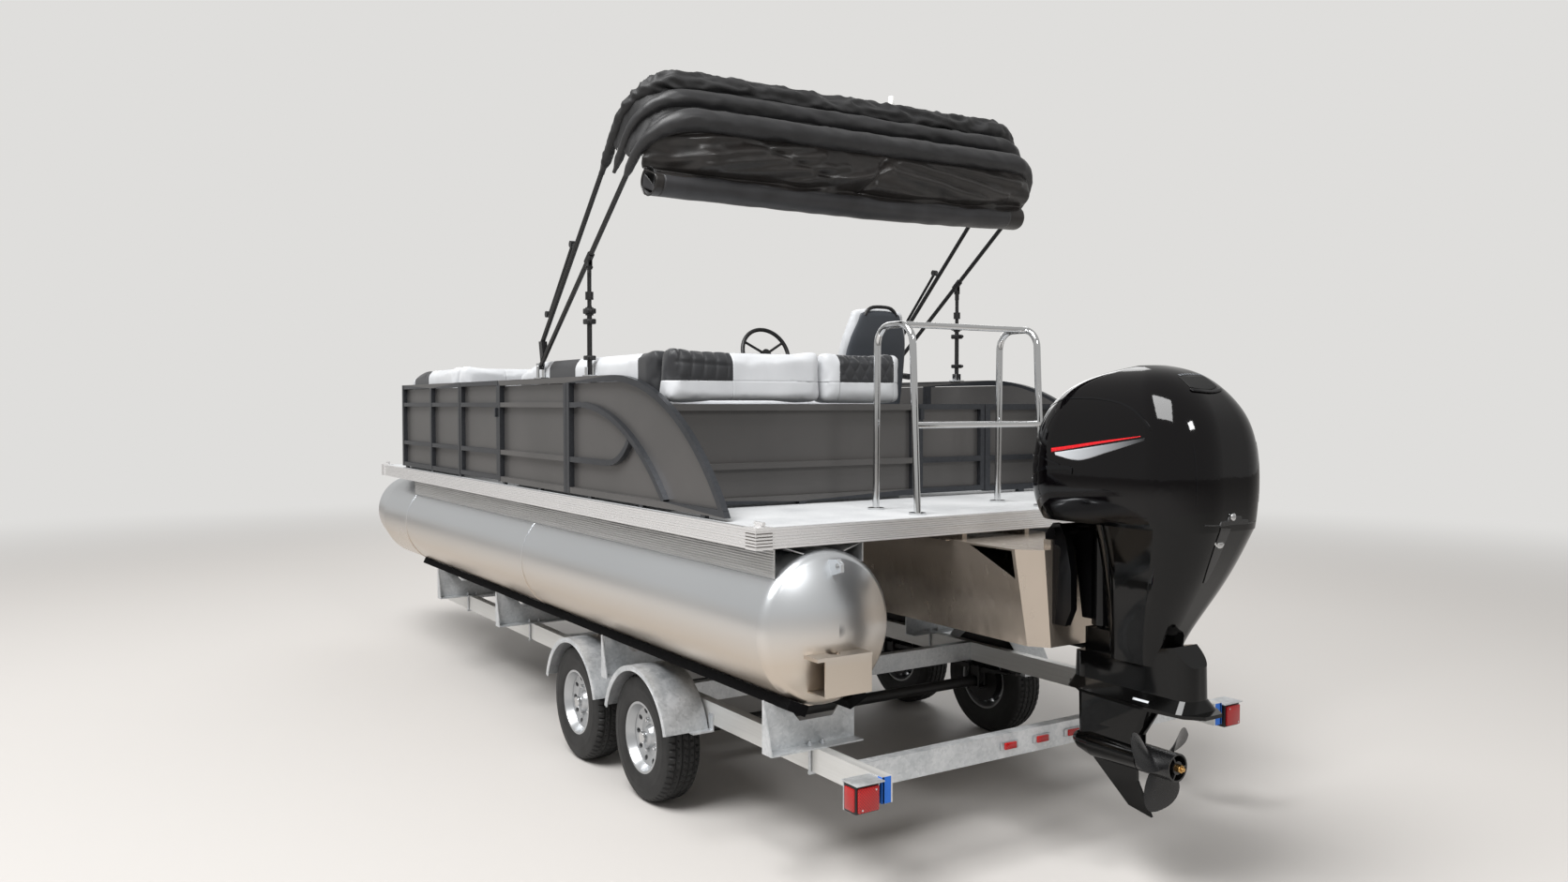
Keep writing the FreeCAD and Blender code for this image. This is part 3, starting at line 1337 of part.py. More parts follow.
def bunkBrackets():
    """Folded plate brackets that straddle the rails: web, foot flange, outboard gusset and U-bolt."""
    reach = tubeRadius + fit + bunkThick
    a = math.radians(bunkAngle)
    mid = (math.sin(a) * reach, math.cos(a) * reach)
    along = (math.cos(a) * bunkWide / 2, math.sin(a) * bunkWide / 2)
    low = (mid[0] - along[0], tubeZ - mid[1] - along[1])
    high = (mid[0] + along[0], tubeZ - mid[1] + along[1])
    span = (tubeY - 194, tubeY + 257)
    dip = tubeZ - tubeRadius - 67.5
    outline = [(span[0], railHigh), (span[1], railHigh), (span[1], high[1] + 30), (tubeY + high[0] + 6, high[1] + 4),
               (tubeY + high[0], high[1]), (tubeY + low[0], low[1]), (tubeY + 81, dip), (tubeY - 81, dip),
               (tubeY - low[0], low[1]), (span[0], high[1] - 4)]
    legs = (railOuter - railWidth - 6.3, railOuter + 6.3)
    solids = []
    for x in bracketPlaces:
        web = prismX(outline, x, x + plateThick)
        foot = block((x - 66, x), span, (railHigh, railHigh + plateThick))
        gusset = prismY([(x, railHigh), (x - 66, railHigh), (x, high[1] + 30)], span[1] - plateThick, span[1])
        bolt = x - 16
        hoop = [rod((bolt, y, railLow - 12), (bolt, y, railHigh + 24), 6) for y in legs]
        hoop.append(block((bolt - 6, bolt + 6), (legs[0] - 6, legs[1] + 6), (railLow - 12.3, railLow - 0.3)))
        nuts = [rod((bolt, y, railHigh + plateThick), (bolt, y, railHigh + plateThick + 9), 11) for y in legs]
        solids += bothSides(joined([web, foot, gusset] + hoop + nuts))
    return group(solids)


def tailLights():
    """Box lamps under small shelves on the rails' ends, and three marker lamps on the rear beam."""
    fore = frameAft + lampLong - 6
    high = lampLow + lampTall
    outer = railOuter + 17 + lampWide
    shelf = block((frameAft - 20, frameAft + 81), (railOuter, outer + 6), (high + 2, high + 8))
    back = block((fore, fore + plateThick), (railOuter, outer), (lampLow, high + 2))
    lamp = block((frameAft - 6, fore), (railOuter + 17, outer), (lampLow, high))
    lens = block((frameAft - 12, frameAft - 6), (railOuter + 21, outer - 4), (lampLow + 4, high - 4))
    markers = [joined([block((rearBeamX - 4, rearBeamX), (y - 50, y + 50), (463, 501)),
                       block((rearBeamX - 18, rearBeamX - 4), (y - 45, y + 45), (468, 496))]) for y in (-190, 0, 190)]
    return group(bothSides(joined([shelf, back, lamp, lens])) + markers)


# ---- Names ------------------------------------------------------------------------------------------------------

pieces = {
    "tube_port": floatTube,
    "tube_starboard": lambda: flipped(floatTube()),
    "tube_eyes": lambda: group(bothSides(tubeEye())),
    "tube_boxes": lambda: group([tubeBox(), flipped(tubeBox())]),
    "motor_pod": motorPod,
    "deck": deckBoard,
    "deck_frame": deckFrame,
    "side_skirts": sideSkirts,
    "rub_rail": rubRail,
    "corner_caps": cornerCaps,
    "fence_port": fencePort,
    "fence_starboard": fenceStarboard,
    "fence_ends": crossFences,
    "fence_panels": fencePanels,
    "gate_port": sideGate,
    "gate_bow": bowGate,
    "gate_stern": sternGate,
    "seat_bases": seatBases,
    "bench_cushions": benchCushions,
    "lounge_cushions": loungeCushions,
    "helm_pedestal": helmPedestal,
    "helm_chair": helmChair,
    "helm_console": helmConsole,
    "steering_wheel": steeringWheel,
    "stern_rail": sternRail,
    "top_main_bow": mainBow,
    "top_rear_bow": rearBow,
    "top_mounts": topMounts,
    "top_brace_port": brace,
    "top_brace_starboard": lambda: flipped(brace()),
    "top_canopy": canopy,
    "anchor_light": anchorLight,
    "transom_clamp": transomClamp,
    "swivel_bracket": swivelBracket,
    "mid_section": midSection,
    "cowl_lower": cowlLower,
    "cowl_upper": cowlUpper,
    "powerhead": powerhead,
    "gearcase": gearcase,
    "propeller": propeller,
    "trailer_rails": trailerRails,
    "trailer_cross_members": crossMembers,
    "trailer_tongue": trailerTongue,
    "coupler": coupler,
    "jack_tube": jackTube,
    "jack_leg": jackLeg,
    "winch_post": winchPost,
    "axles": axles,
    "fenders": fenders,
    "bunks": bunks,
    "bunk_brackets": bunkBrackets,
    "tail_lights": tailLights,
}

os.makedirs("parts", exist_ok=True)
shapes = {name: make() for name, make in pieces.items()}
for place, x in zip(("rear", "front"), axlePlaces):
    for sideName, side in (("port", 1), ("starboard", -1)):
        tyre, rim = wheelParts(x, side)
        shapes["tyre_" + sideName + "_" + place] = tyre
        shapes["rim_" + sideName + "_" + place] = rim
for name, shape in shapes.items():
    shape.translate(vec(-originX, 0, 0))
    shape.exportStep("parts/" + name + ".step")
    box = shape.BoundBox
    print(name, len(shape.Solids), "solids", shape.isValid(), round(shape.Volume / 1e6, 2), "litres",
          [round(v) for v in (box.XMin, box.XMax, box.YMin, box.YMax, box.ZMin, box.ZMax)])
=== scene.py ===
import bpy
import json
import math
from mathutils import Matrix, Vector, noise


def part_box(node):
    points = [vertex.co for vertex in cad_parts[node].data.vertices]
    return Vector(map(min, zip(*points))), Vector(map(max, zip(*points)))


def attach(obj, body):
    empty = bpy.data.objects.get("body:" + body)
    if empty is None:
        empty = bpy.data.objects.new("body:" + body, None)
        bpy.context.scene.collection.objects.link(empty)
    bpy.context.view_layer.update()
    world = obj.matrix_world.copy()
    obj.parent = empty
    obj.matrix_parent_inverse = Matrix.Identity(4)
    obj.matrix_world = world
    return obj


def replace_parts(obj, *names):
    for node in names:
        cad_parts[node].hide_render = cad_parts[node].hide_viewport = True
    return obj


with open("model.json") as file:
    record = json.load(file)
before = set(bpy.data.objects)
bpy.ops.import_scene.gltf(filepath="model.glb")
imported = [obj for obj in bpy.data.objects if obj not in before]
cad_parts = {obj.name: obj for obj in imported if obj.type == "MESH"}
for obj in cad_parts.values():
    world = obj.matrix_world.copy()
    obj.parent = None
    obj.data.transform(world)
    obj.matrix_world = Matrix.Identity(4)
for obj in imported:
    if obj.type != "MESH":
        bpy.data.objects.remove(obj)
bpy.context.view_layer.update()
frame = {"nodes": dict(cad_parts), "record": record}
nodes = frame["nodes"]

print("stage: helpers")

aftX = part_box("rub_rail")[0].x - 0.004  # the deck's stern face, places along the boat are measured from it


def at(x, y, z):  # a point in the row frame from its distance forward of the deck's stern face
    return Vector((aftX + x, y, z))


def pick(piece=None):  # leaves edit mode, then only this piece is picked
    if bpy.context.object and bpy.context.object.mode != "OBJECT":
        bpy.ops.object.mode_set(mode="OBJECT")
    bpy.ops.object.select_all(action="DESELECT")
    if piece is not None:
        piece.select_set(True)
        bpy.context.view_layer.objects.active = piece


def placed(piece):  # its place, turn and scale go into the mesh
    pick(piece)
    bpy.ops.object.transform_apply(location=True, rotation=True, scale=True)
    return piece


def seated(piece, name, body):  # named, and riding on its body
    placed(piece)
    piece.name = name
    piece.data.name = name
    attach(piece, body)
    return piece


def finishPiece(piece, name, body, slotName, material=None):  # in its slot's finish, or in one of its own
    piece.data.materials.clear()
    piece.data.materials.append(material or finishes[slotName])
    return seated(piece, name, body)


def addMod(piece, kind, **settings):
    pick(piece)
    mod = piece.modifiers.new(kind.title(), kind)
    for key, value in settings.items():
        setattr(mod, key, value)
    bpy.ops.object.modifier_apply(modifier=mod.name)
    return piece


def smoothed(piece, angle=40):
    pick(piece)
    bpy.ops.object.shade_smooth_by_angle(angle=math.radians(angle))
    return piece


def blockPiece(low, high, bevel=0.002, segments=2):
    low, high = Vector(low), Vector(high)
    pick()
    bpy.ops.mesh.primitive_cube_add(size=1, location=(low + high) / 2)
    piece = bpy.context.object
    piece.scale = high - low
    placed(piece)
    if bevel:
        addMod(piece, "BEVEL", width=bevel, segments=segments, limit_method="ANGLE")
        smoothed(piece)
    return piece


def rodPiece(start, end, radius, sides=24, bevel=0.0):
    start, end = Vector(start), Vector(end)
    pick()
    bpy.ops.mesh.primitive_cylinder_add(vertices=sides, radius=radius, depth=(end - start).length)
    piece = bpy.context.object
    piece.rotation_mode = "QUATERNION"
    piece.rotation_quaternion = (end - start).to_track_quat("Z", "Y")
    piece.location = (start + end) / 2
    placed(piece)
    if bevel:
        addMod(piece, "BEVEL", width=bevel, segments=2, limit_method="ANGLE", angle_limit=math.radians(50))
    return smoothed(piece)


def joinedPiece(pieces):
    pick(pieces[0])
    for piece in pieces[1:]:
        piece.select_set(True)
    if len(pieces) > 1:
        bpy.ops.object.join()
    return bpy.context.object


def openMesh(piece):  # edit mode with the whole mesh picked
    pick(piece)
    bpy.ops.object.mode_set(mode="EDIT")
    bpy.ops.mesh.select_all(action="SELECT")


def turnedOver(piece):  # its faces look the other way
    openMesh(piece)
    bpy.ops.mesh.flip_normals()
    bpy.ops.object.mode_set(mode="OBJECT")
    return piece


def copied(piece, shift=(0, 0, 0), mirror=False):  # own mesh, moved or turned over to starboard
    twin = piece.copy()
    twin.data = piece.data.copy()
    bpy.context.collection.objects.link(twin)
    for key in [key for key in twin.keys() if key.startswith("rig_")]:
        del twin[key]
    twin.parent = None
    for point in twin.data.vertices:
        point.co += Vector(shift)
        if mirror:
            point.co.y = -point.co.y
    return turnedOver(twin) if mirror else twin


def bothHands(piece, name, body, slotName, material=None):  # a port piece and its starboard twin as one
    return finishPiece(joinedPiece([piece, copied(piece, mirror=True)]), name, body, slotName, material)


def bentBar(points, radius):  # a round bar bent through a few points
    pick()
    bpy.ops.curve.primitive_nurbs_path_add()
    line = bpy.context.object
    spline = line.data.splines[0]
    if len(points) > len(spline.points):
        spline.points.add(len(points) - len(spline.points))
    line.location = (0, 0, 0)
    for index, point in enumerate(spline.points):
        point.co = (*at(*points[min(index, len(points) - 1)]), 1)
    spline.order_u = 3
    spline.use_endpoint_u = True
    line.data.bevel_depth = radius
    line.data.bevel_resolution = 4
    line.data.resolution_u = 8
    line.data.use_fill_caps = True
    bpy.ops.object.convert(target="MESH")
    return smoothed(bpy.context.object)


def hexColour(text):  # sRGB hex to linear
    channels = [int(text[i:i + 2], 16) / 255 for i in (0, 2, 4)]
    linear = [c / 12.92 if c <= 0.04045 else ((c + 0.055) / 1.055) ** 2.4 for c in channels]
    return (*linear, 1.0)


def addNode(owner, kind, settings=None, links=None):  # a node in the tree of a material or the world
    item = owner.node_tree.nodes.new(kind)
    for key, value in (settings or {}).items():
        if key in item.inputs.keys() or isinstance(key, int):
            item.inputs[key].default_value = value
        else:
            setattr(item, key, value)
    for key, source in (links or {}).items():
        owner.node_tree.links.new(source, item.inputs[key])
    return item


def newFinish(name, colour, roughness, metallic=0.0, **more):
    paint = bpy.data.materials.new(name)
    paint.use_nodes = True
    values = {"Base_Color": hexColour(colour), "Roughness": roughness, "Metallic": metallic, **more}
    for key, value in values.items():
        paint.node_tree.nodes["Principled BSDF"].inputs[key.replace("_", " ")].default_value = value
    return paint


def pattern(paint, kind, settings=None):  # outputs of a node that reads the piece's own metres
    place = addNode(paint, "ShaderNodeTexCoord").outputs["Object"]
    return addNode(paint, kind, settings, {"Vector": place}).outputs


def cells(paint, across):  # irregular cells of about this size
    return pattern(paint, "ShaderNodeTexVoronoi", {"Scale": 1 / across})


def grain(paint, scale, detail=4.0, stretch=(1, 1, 1), seed=(0, 0, 0)):
    mapped = pattern(paint, "ShaderNodeMapping", {"Scale": stretch, "Location": seed})[0]
    settings = {"Scale": scale, "Detail": detail}
    return addNode(paint, "ShaderNodeTexNoise", settings, {"Vector": mapped}).outputs[0]


def spread(paint, source, low, high, fromLow=0.3, fromHigh=0.7):
    limits = {1: fromLow, 2: fromHigh, 3: low, 4: high}
    return addNode(paint, "ShaderNodeMapRange", limits, {0: source}).outputs[0]


def blended(paint, source, share, base):  # a share of one texture on top of another
    settings = {"operation": "MULTIPLY_ADD", 1: share}
    return addNode(paint, "ShaderNodeMath", settings, {0: source, 2: base}).outputs[0]


def driven(paint, slotName, source):  # a texture drives one value of the finish
    paint.node_tree.links.new(source, paint.node_tree.nodes["Principled BSDF"].inputs[slotName])
    return paint


def tinted(paint, source, first, second, fromLow=0.3, fromHigh=0.7):
    colours = {"data_type": "RGBA", 6: hexColour(first), 7: hexColour(second)}
    factor = spread(paint, source, 0, 1, fromLow, fromHigh)
    return driven(paint, "Base Color", addNode(paint, "ShaderNodeMix", colours, {0: factor}).outputs[2])


def sheened(paint, source, low, high, fromLow=0.3, fromHigh=0.7):
    return driven(paint, "Roughness", spread(paint, source, low, high, fromLow, fromHigh))


def bumped(paint, height, strength, distance):
    relief = addNode(paint, "ShaderNodeBump", {"Strength": strength, "Distance": distance}, {"Height": height})
    return driven(paint, "Normal", relief.outputs[0])


def millAluminium():
    # rolled sheet with a painted reflection: warm low down for the ground it mirrors, cool above for the sky,
    # with a slow change of sheen
    paint = newFinish("mill_aluminium", "cfcac4", 0.3, 0.95)
    groundReflectionBelow, skyReflectionAbove = 0.90, 1.12
    height = pattern(paint, "ShaderNodeSeparateXYZ")[2]
    tinted(paint, height, "cbc0b3", "d6d9dc", groundReflectionBelow, skyReflectionAbove)
    return sheened(paint, grain(paint, 1.6, 1, (0.4, 1, 1)), 0.27, 0.34)


def polishedPlate():
    # bright plate with slow waves that bend what it mirrors; its warm tan colour is partly the metal and partly
    # a painted reflection of the ground
    paint = newFinish("polished_aluminium_plate", "b3a89c", 0.2, 0.8)
    sheened(paint, grain(paint, 30, 6, (1, 1, 0.2)), 0.16, 0.28)
    return bumped(paint, grain(paint, 3.5, 2), 0.3, 0.012)


def sawnAluminium(name="extruded_aluminium", first="b3b3b2", second="c6c6c6", rough=(0.34, 0.5), metallic=0.85):
    # extrusion left as it came: dull, with draw lines
    paint = newFinish(name, first, 0.4, metallic)
    lines = grain(paint, 14, 6, (0.15, 5, 5))
    tinted(paint, lines, first, second)
    return sheened(paint, lines, *rough)


def anodisedTrim():
    # clear anodised extrusion with fine level grooves, 9 mm apart
    paint = newFinish("anodised_trim", "e4e3e3", 0.36, 0.7)
    bands = {"wave_type": "BANDS", "bands_direction": "Z", "Scale": 0.314 / 0.009}
    grooves = pattern(paint, "ShaderNodeTexWave", bands)[0]
    sheened(paint, grooves, 0.26, 0.4, 0, 1)
    return bumped(paint, spread(paint, grooves, 0, 1, 0.1, 0.5), 0.6, 0.0012)


def zincCoated():
    # hot-dip zinc: pale, mottled crystals about 12 mm across
    paint = newFinish("galvanised_steel", "c4c7ca", 0.40, 0.7)
    both = blended(paint, cells(paint, 0.012)["Color"], 0.35, grain(paint, 9))
    tinted(paint, both, "b4b8bb", "d4d6d8", 0.4, 0.9)
    return sheened(paint, both, 0.34, 0.52, 0.4, 0.9)


def satinPaint(name, first, second, rough, metallic=0.4, flake=220):
    # baked metallic paint: a little flake and a slow change of tone
    paint = newFinish(name, first, rough, metallic)
    tone = grain(paint, 1.6, 3, seed=(4, 2, 7))
    tinted(paint, blended(paint, grain(paint, flake, 2), 0.5, tone), first, second, 0.5, 1.0)
    return bumped(paint, tone, 0.08, 0.004)


def glossBlack(name="gloss_black_cover", colour="040304"):
    # sprayed gloss black: deep, mirrors only what is bright
    paint = newFinish(name, colour, 0.06, Specular_IOR_Level=0.28)
    return bumped(paint, grain(paint, 2.5, 2), 0.12, 0.004)


def satinBlack(name="satin_black", colour="121213", rough=0.45, speckScale=500.0):
    # fine-textured plastic or powder coat, most often black
    paint = newFinish(name, colour, rough)
    speck = grain(paint, speckScale, 2)
    bumped(paint, speck, 0.25, 0.0006)
    return sheened(paint, speck, rough - 0.08, rough + 0.08)


def stainlessTube():
    # buffed stainless tube
    paint = newFinish("polished_stainless", "cfd0d1", 0.09, 1.0)
    return sheened(paint, grain(paint, 60, 3), 0.06, 0.14)


def deckVinyl():
    # woven vinyl deck cover in two light greys, threads about 3 mm
    paint = newFinish("woven_deck_vinyl", "b4b5b6", 0.75)
    threads = grain(paint, 320, 2)
    tinted(paint, blended(paint, threads, 0.8, grain(paint, 3)), "a1a3a5", "c5c6c7", 0.6, 1.2)
    return bumped(paint, threads, 0.4, 0.0015)


def seatVinyl(name, first, second):
    # upholstery vinyl: pebbled grain near 2 mm, soft sheen
    paint = newFinish(name, first, 0.5, Sheen_Weight=0.15)
    tinted(paint, grain(paint, 4), first, second)
    return bumped(paint, cells(paint, 0.0022)["Distance"], 0.25, 0.0006)


def canopyCloth(name="acrylic_canopy_cloth", first="0b0b0d", second="1b1b1e", rough=0.6):
    # woven acrylic cloth, threads drawn at 2 mm so that they show
    paint = newFinish(name, first, rough, Sheen_Weight=0.06)
    tinted(paint, grain(paint, 7, 5), first, second)
    return bumped(paint, grain(paint, 450, 2), 0.3, 0.0008)


def tyreRubber():
    # black rubber with a dusty bloom
    paint = newFinish("tyre_rubber", "101010", 0.62)
    tinted(paint, grain(paint, 18, 5), "090909", "1b1b1b")
    return bumped(paint, grain(paint, 260, 3), 0.2, 0.0008)


def bunkCarpet():
    # short needled pile, tufts near 3 mm
    paint = newFinish("bunk_carpet", "070708", 0.95, Specular_IOR_Level=0.1)
    tufts = grain(paint, 300)
    tinted(paint, tufts, "040405", "101011")
    return bumped(paint, tufts, 0.9, 0.003)


def lampLens():
    # red lens, moulded with small square facets
    paint = newFinish("red_lamp_lens", "a00a0c", 0.2, Coat_Weight=0.2)
    facets = pattern(paint, "ShaderNodeTexChecker", {"Scale": 1 / 0.006})["Fac"]
    tinted(paint, facets, "7c0507", "b50d10", 0, 1)
    return bumped(paint, facets, 0.3, 0.001)


def clearLens():
    # frosted clear plastic
    paint = newFinish("frosted_lens", "e8e8e6", 0.25, Coat_Weight=0.5)
    return bumped(paint, grain(paint, 120, 2), 0.2, 0.0006)


finishes = {
    "float_metal": millAluminium(),
    "pod_metal": polishedPlate(),
    "frame_metal": sawnAluminium(),
    "rail_trim": anodisedTrim(),
    "deck_cover": deckVinyl(),
    "fence_rail": satinPaint("slate_anodised_rail", "383a3e", "484a4e", 0.34, 0.7, 60),
    "fence_sheet": satinPaint("pewter_painted_sheet", "555453", "62605f", 0.34, 0.5, 400),
    "polished_steel": stainlessTube(),
    "seat_shell": satinBlack("moulded_seat_base", "8d9093", 0.5),
    "seat_vinyl": seatVinyl("light_grey_vinyl", "aeb1b5", "bcbfc3"),
    "console_shell": glossBlack("gloss_console", "0c0c0d"),
    "black_plastic": satinBlack("grained_black_plastic"),
    "bow_tube": satinBlack("satin_black_tube", "0f0f10", 0.32, 300.0),
    "canopy_cloth": canopyCloth(),
    "engine_gloss": glossBlack(),
    "engine_metal": glossBlack("gloss_black_casting", "040404"),
    "bracket_black": glossBlack("black_bracket_paint", "0a0a0b"),
    "propeller_paint": satinBlack("black_propeller_paint", "131314", 0.3, 200.0),
    "engine_block": satinBlack("cast_block", "2b2b2b", 0.6),
    "trailer_metal": sawnAluminium("trailer_extrusion", "c8c8c6", "d4d4d2", (0.36, 0.5), 0.6),
    "zinc_steel": zincCoated(),
    "axle_paint": satinBlack("axle_enamel", "151515", 0.5),
    "bunk_carpet": bunkCarpet(),
    "lamp_red": lampLens(),
    "lamp_clear": clearLens(),
    "tyre_rubber": tyreRubber(),
    "rim_steel": satinPaint("silver_wheel_paint", "a9abad", "bdbfc1", 0.3, 0.8, 300),
}

print("stage: carried pieces get their finishes")
for part in frame["record"]["subparts"]:
    for materialSlot in nodes[part["node"]].material_slots:
        materialSlot.material = finishes[part["material_slot"]]
sheetArea = 0.012  # a face of a gate or fence that is larger than this is sheet, not rail
for name in ("gate_port", "gate_bow", "gate_stern", "fence_port", "fence_starboard", "fence_ends"):
    skin = nodes[name].data
    skin.materials.append(finishes["fence_sheet"])
    for face in skin.polygons:
        if face.area > sheetArea:
            face.material_index = len(skin.materials) - 1

print("stage: sun top cloth")
sunTop = {
    "mainLeg": ((1.56, 3.079), (1.165, 3.47)),
    "rearLeg": ((1.29, 3.009), (1.0, 3.235)),
    "middleLeg": ((1.41, 3.06), (1.085, 3.372)),
    "halfWidth": 1.241, "bend": 0.23, "clothThick": 0.0016, "bandThick": 0.002,
    # folds of the hanging sheet: start y, z, end y, z, height, width
    "folds": [
        (1.08, 3.07, 0.35, 3.215, 0.030, 0.022), (0.98, 3.045, 0.30, 3.165, 0.039, 0.026),
        (0.86, 3.02, 0.15, 3.125, 0.033, 0.022), (0.62, 2.99, 0.02, 3.10, 0.030, 0.020),
        (0.35, 2.975, -0.12, 3.15, 0.039, 0.024), (0.06, 2.97, -0.10, 3.20, -0.027, 0.016),
        (-0.20, 3.20, -0.95, 3.07, 0.033, 0.022), (-0.12, 3.14, -0.90, 3.02, 0.036, 0.026),
        (-0.05, 3.05, -0.75, 2.985, 0.027, 0.020), (0.75, 3.20, 0.20, 3.05, -0.018, 0.018),
        (-0.35, 3.22, -1.05, 3.14, 0.027, 0.018), (1.10, 3.16, 0.80, 3.20, 0.018, 0.015),
    ],
}


def eased(value):
    value = max(0.0, min(1.0, value))
    return value * value * (3 - 2 * value)


def smoothLine(points, share):  # a rounded line through a short table of points
    run = share * (len(points) - 1)
    index = min(int(run), len(points) - 2)
    k = run - index
    near = [max(0, min(len(points) - 1, index + step)) for step in (-1, 0, 1, 2)]
    before, first, second, after = (Vector(points[i]) for i in near)
    return first + (second - before) * (k / 2) + (before * 2 - first * 5 + second * 4 - after) * (k * k / 2) \
        + (first * 3 - before - second * 3 + after) * (k ** 3 / 2)


def gridSkin(columns, rows, place, closed=False):  # a skin whose points follow two numbers from 0 to 1
    pick()
    bpy.ops.mesh.primitive_grid_add(x_subdivisions=columns, y_subdivisions=rows, size=1)
    piece = bpy.context.object
    for point in piece.data.vertices:
        point.co = place(point.co.x + 0.5, point.co.y + 0.5)
    openMesh(piece)
    if closed:
        bpy.ops.mesh.remove_doubles(threshold=0.00004)
        bpy.ops.mesh.normals_make_consistent(inside=False)
    bpy.ops.object.mode_set(mode="OBJECT")
    bpy.ops.object.shade_smooth()
    return piece


def bowTrack(leg):  # where a bow's line runs, and its direction there, by share of its length
    (startX, startZ), (barX, barZ) = leg
    rise = Vector((barX - startX, 0, barZ - startZ))
    legLong = rise.length - sunTop["bend"]
    up = rise.normalized()
    out = Vector((0, 1, 0))
    arcLong = math.pi / 2 * sunTop["bend"]
    half = legLong + arcLong + sunTop["halfWidth"] - sunTop["bend"]
    foot = at(startX, sunTop["halfWidth"], startZ)

    def track(share):
        run = share * 2 * half
        over = run > half
        run = 2 * half - run if over else run
        if run < legLong:
            spot, ahead = foot + up * run, up.copy()
        elif run < legLong + arcLong:
            turn = (run - legLong) / sunTop["bend"]
            around = out * (math.cos(turn) - 1) + up * math.sin(turn)
            spot = foot + up * legLong + around * sunTop["bend"]
            ahead = up * math.cos(turn) - out * math.sin(turn)
        else:
            spot = foot + up * (legLong + sunTop["bend"]) - out * (sunTop["bend"] + run - legLong - arcLong)
            ahead = -out
        if over:
            spot.y = -spot.y
            ahead = Vector((-ahead.x, ahead.y, -ahead.z))
        onBar = eased((run - legLong) / (arcLong * 1.1))
        return spot, ahead, onBar
    return track, up.cross(out)


def clothRoll(leg, legRadius, barRadius, lift, wrinkle, seed, columns=260, around=28, tuck=0.03):
    track, planeLine = bowTrack(leg)

    def place(u, v):
        spot, ahead, onBar = track(u)
        port = (spot.y + 1.2) / 2.4
        outward = planeLine.cross(ahead)
        turn = v * 2 * math.pi
        radius = legRadius + (barRadius - legRadius) * onBar
        ends = min(u, 1 - u) / tuck
        radius *= 0.45 + 0.55 * eased(ends)
        centre = spot + Vector((-0.004, 0, lift[0] * port + lift[1] * (1 - port))) * onBar
        around3 = outward * math.cos(turn) + planeLine * math.sin(turn)
        where = centre + around3 * radius
        cell = Vector((where.y * 5 + where.z * 7 + seed, where.x * 22 + seed, where.z * 16 - where.y * 3))
        crease = 1 - abs(noise.noise(cell) * 2.2)
        fine = noise.noise(cell * 2.7)
        return where + around3 * (wrinkle * (crease * 0.8 - 0.45 + 0.35 * fine) * (0.35 + 0.65 * onBar))
    return gridSkin(columns, around, place, closed=True)


def boardTop(y):  # how far the lower roll has dropped round its corner
    over = max(0.0, min(sunTop["bend"] - 0.001, abs(y) - sunTop["halfWidth"] + sunTop["bend"]))
    return sunTop["bend"] - math.sqrt(sunTop["bend"] ** 2 - over ** 2)


def hangingPlace(u, v, out=0.0, low=-1.13, high=1.212):  # cloth over the lower roll, down, and round a pouch
    y = low + (high - low) * u
    drop = boardTop(y)
    belly = 0.012 * math.sin(y * 5.1 + 0.7) + 0.010 * math.sin(y * 11.3)
    section = [
        (1.0 + drop * 0.9, 3.245 - drop * 0.55), (0.985 + drop * 0.7, 3.19 - drop * 0.4),
        (0.978 + drop * 0.4, 3.13 - drop * 0.2), (0.985, 3.075), (1.012, 3.040 + belly * 0.5),
        (1.050, 3.020 + belly * 0.4), (1.026, 2.992), (1.020, 2.955 + belly * 0.2), (1.040, 2.922),
        (1.085, 2.906), (1.135, 2.912), (1.168, 2.945), (1.172, 2.990), (1.140, 3.028), (1.100, 3.020),
    ]
    x, z = smoothLine(section, v)
    pouchFrom = 0.42
    slope = 0.018 * (y - 0.2) ** 2 * (1 if y < 0 else 0.2)
    upper = 0.0
    if v < pouchFrom:  # the folds lie on the part above the pouch
        upper = eased((z - 2.985) / 0.05) * eased((3.235 - drop * 0.6 - z) / 0.05)
    push = 0.0
    for startY, startZ, endY, endZ, height, width in sunTop["folds"]:
        along = Vector((endY - startY, endZ - startZ))
        off = Vector((y - startY, z - startZ))
        share = max(0.0, min(1.0, off.dot(along) / along.length_squared))
        away = (off - along * share).length
        fade = 0.35 + 0.65 * math.sin(math.pi * (0.12 + 0.76 * share))
        push += height * math.exp(-(away / width) ** 2) * fade
    push *= upper
    cell = Vector((y * 3.2 + z * 5, z * 14 - y * 4, 3.1))
    crumple = 0.006 * (1 - abs(noise.noise(cell) * 2.4)) + 0.003 * noise.noise(cell * 3.1)
    push += crumple * (0.4 + 0.6 * upper)
    ripple = 0.004 * noise.noise(Vector((y * 9, v * 6, 7.7)))
    # the port edge reaches round to the leg
    wrap = eased((u - 0.88) / 0.12) * math.sin(math.pi * min(1.0, v / 0.44))
    x = x - push * (0.95 if v < pouchFrom else 0.3) - out * (1 if v < 0.7 else 0)
    return at(x + 0.13 * wrap, y + 0.022 * wrap, z + slope + ripple)


def gatheredPlace(u, v):  # cloth that fills the room between the main bow's roll and the rear one
    share = 0.045 + 0.91 * u
    fore, aft = (bowTrack(sunTop[leg])[0](share) for leg in ("mainLeg", "rearLeg"))
    spot = fore[0] * (1 - v) + aft[0] * v
    onBar = fore[2]
    cell = Vector((spot.y * 7, spot.x * 30, spot.z * 12))
    puff = 0.018 * (1 - abs(noise.noise(cell) * 2.2)) + 0.012 * math.sin(v * math.pi * 3) ** 2
    return spot + Vector((0, math.copysign(0.24, spot.y) * (1 - onBar) * puff, puff + 0.012 * onBar))


def valancePlace(u, v):  # a band over the lower part of the hanging sheet
    top = 0.415 + 0.012 * math.sin(u * 21) + 0.008 * math.sin(u * 47 + 1)
    return hangingPlace(0.045 + 0.935 * u, top + (0.66 - top) * v, 0.004)


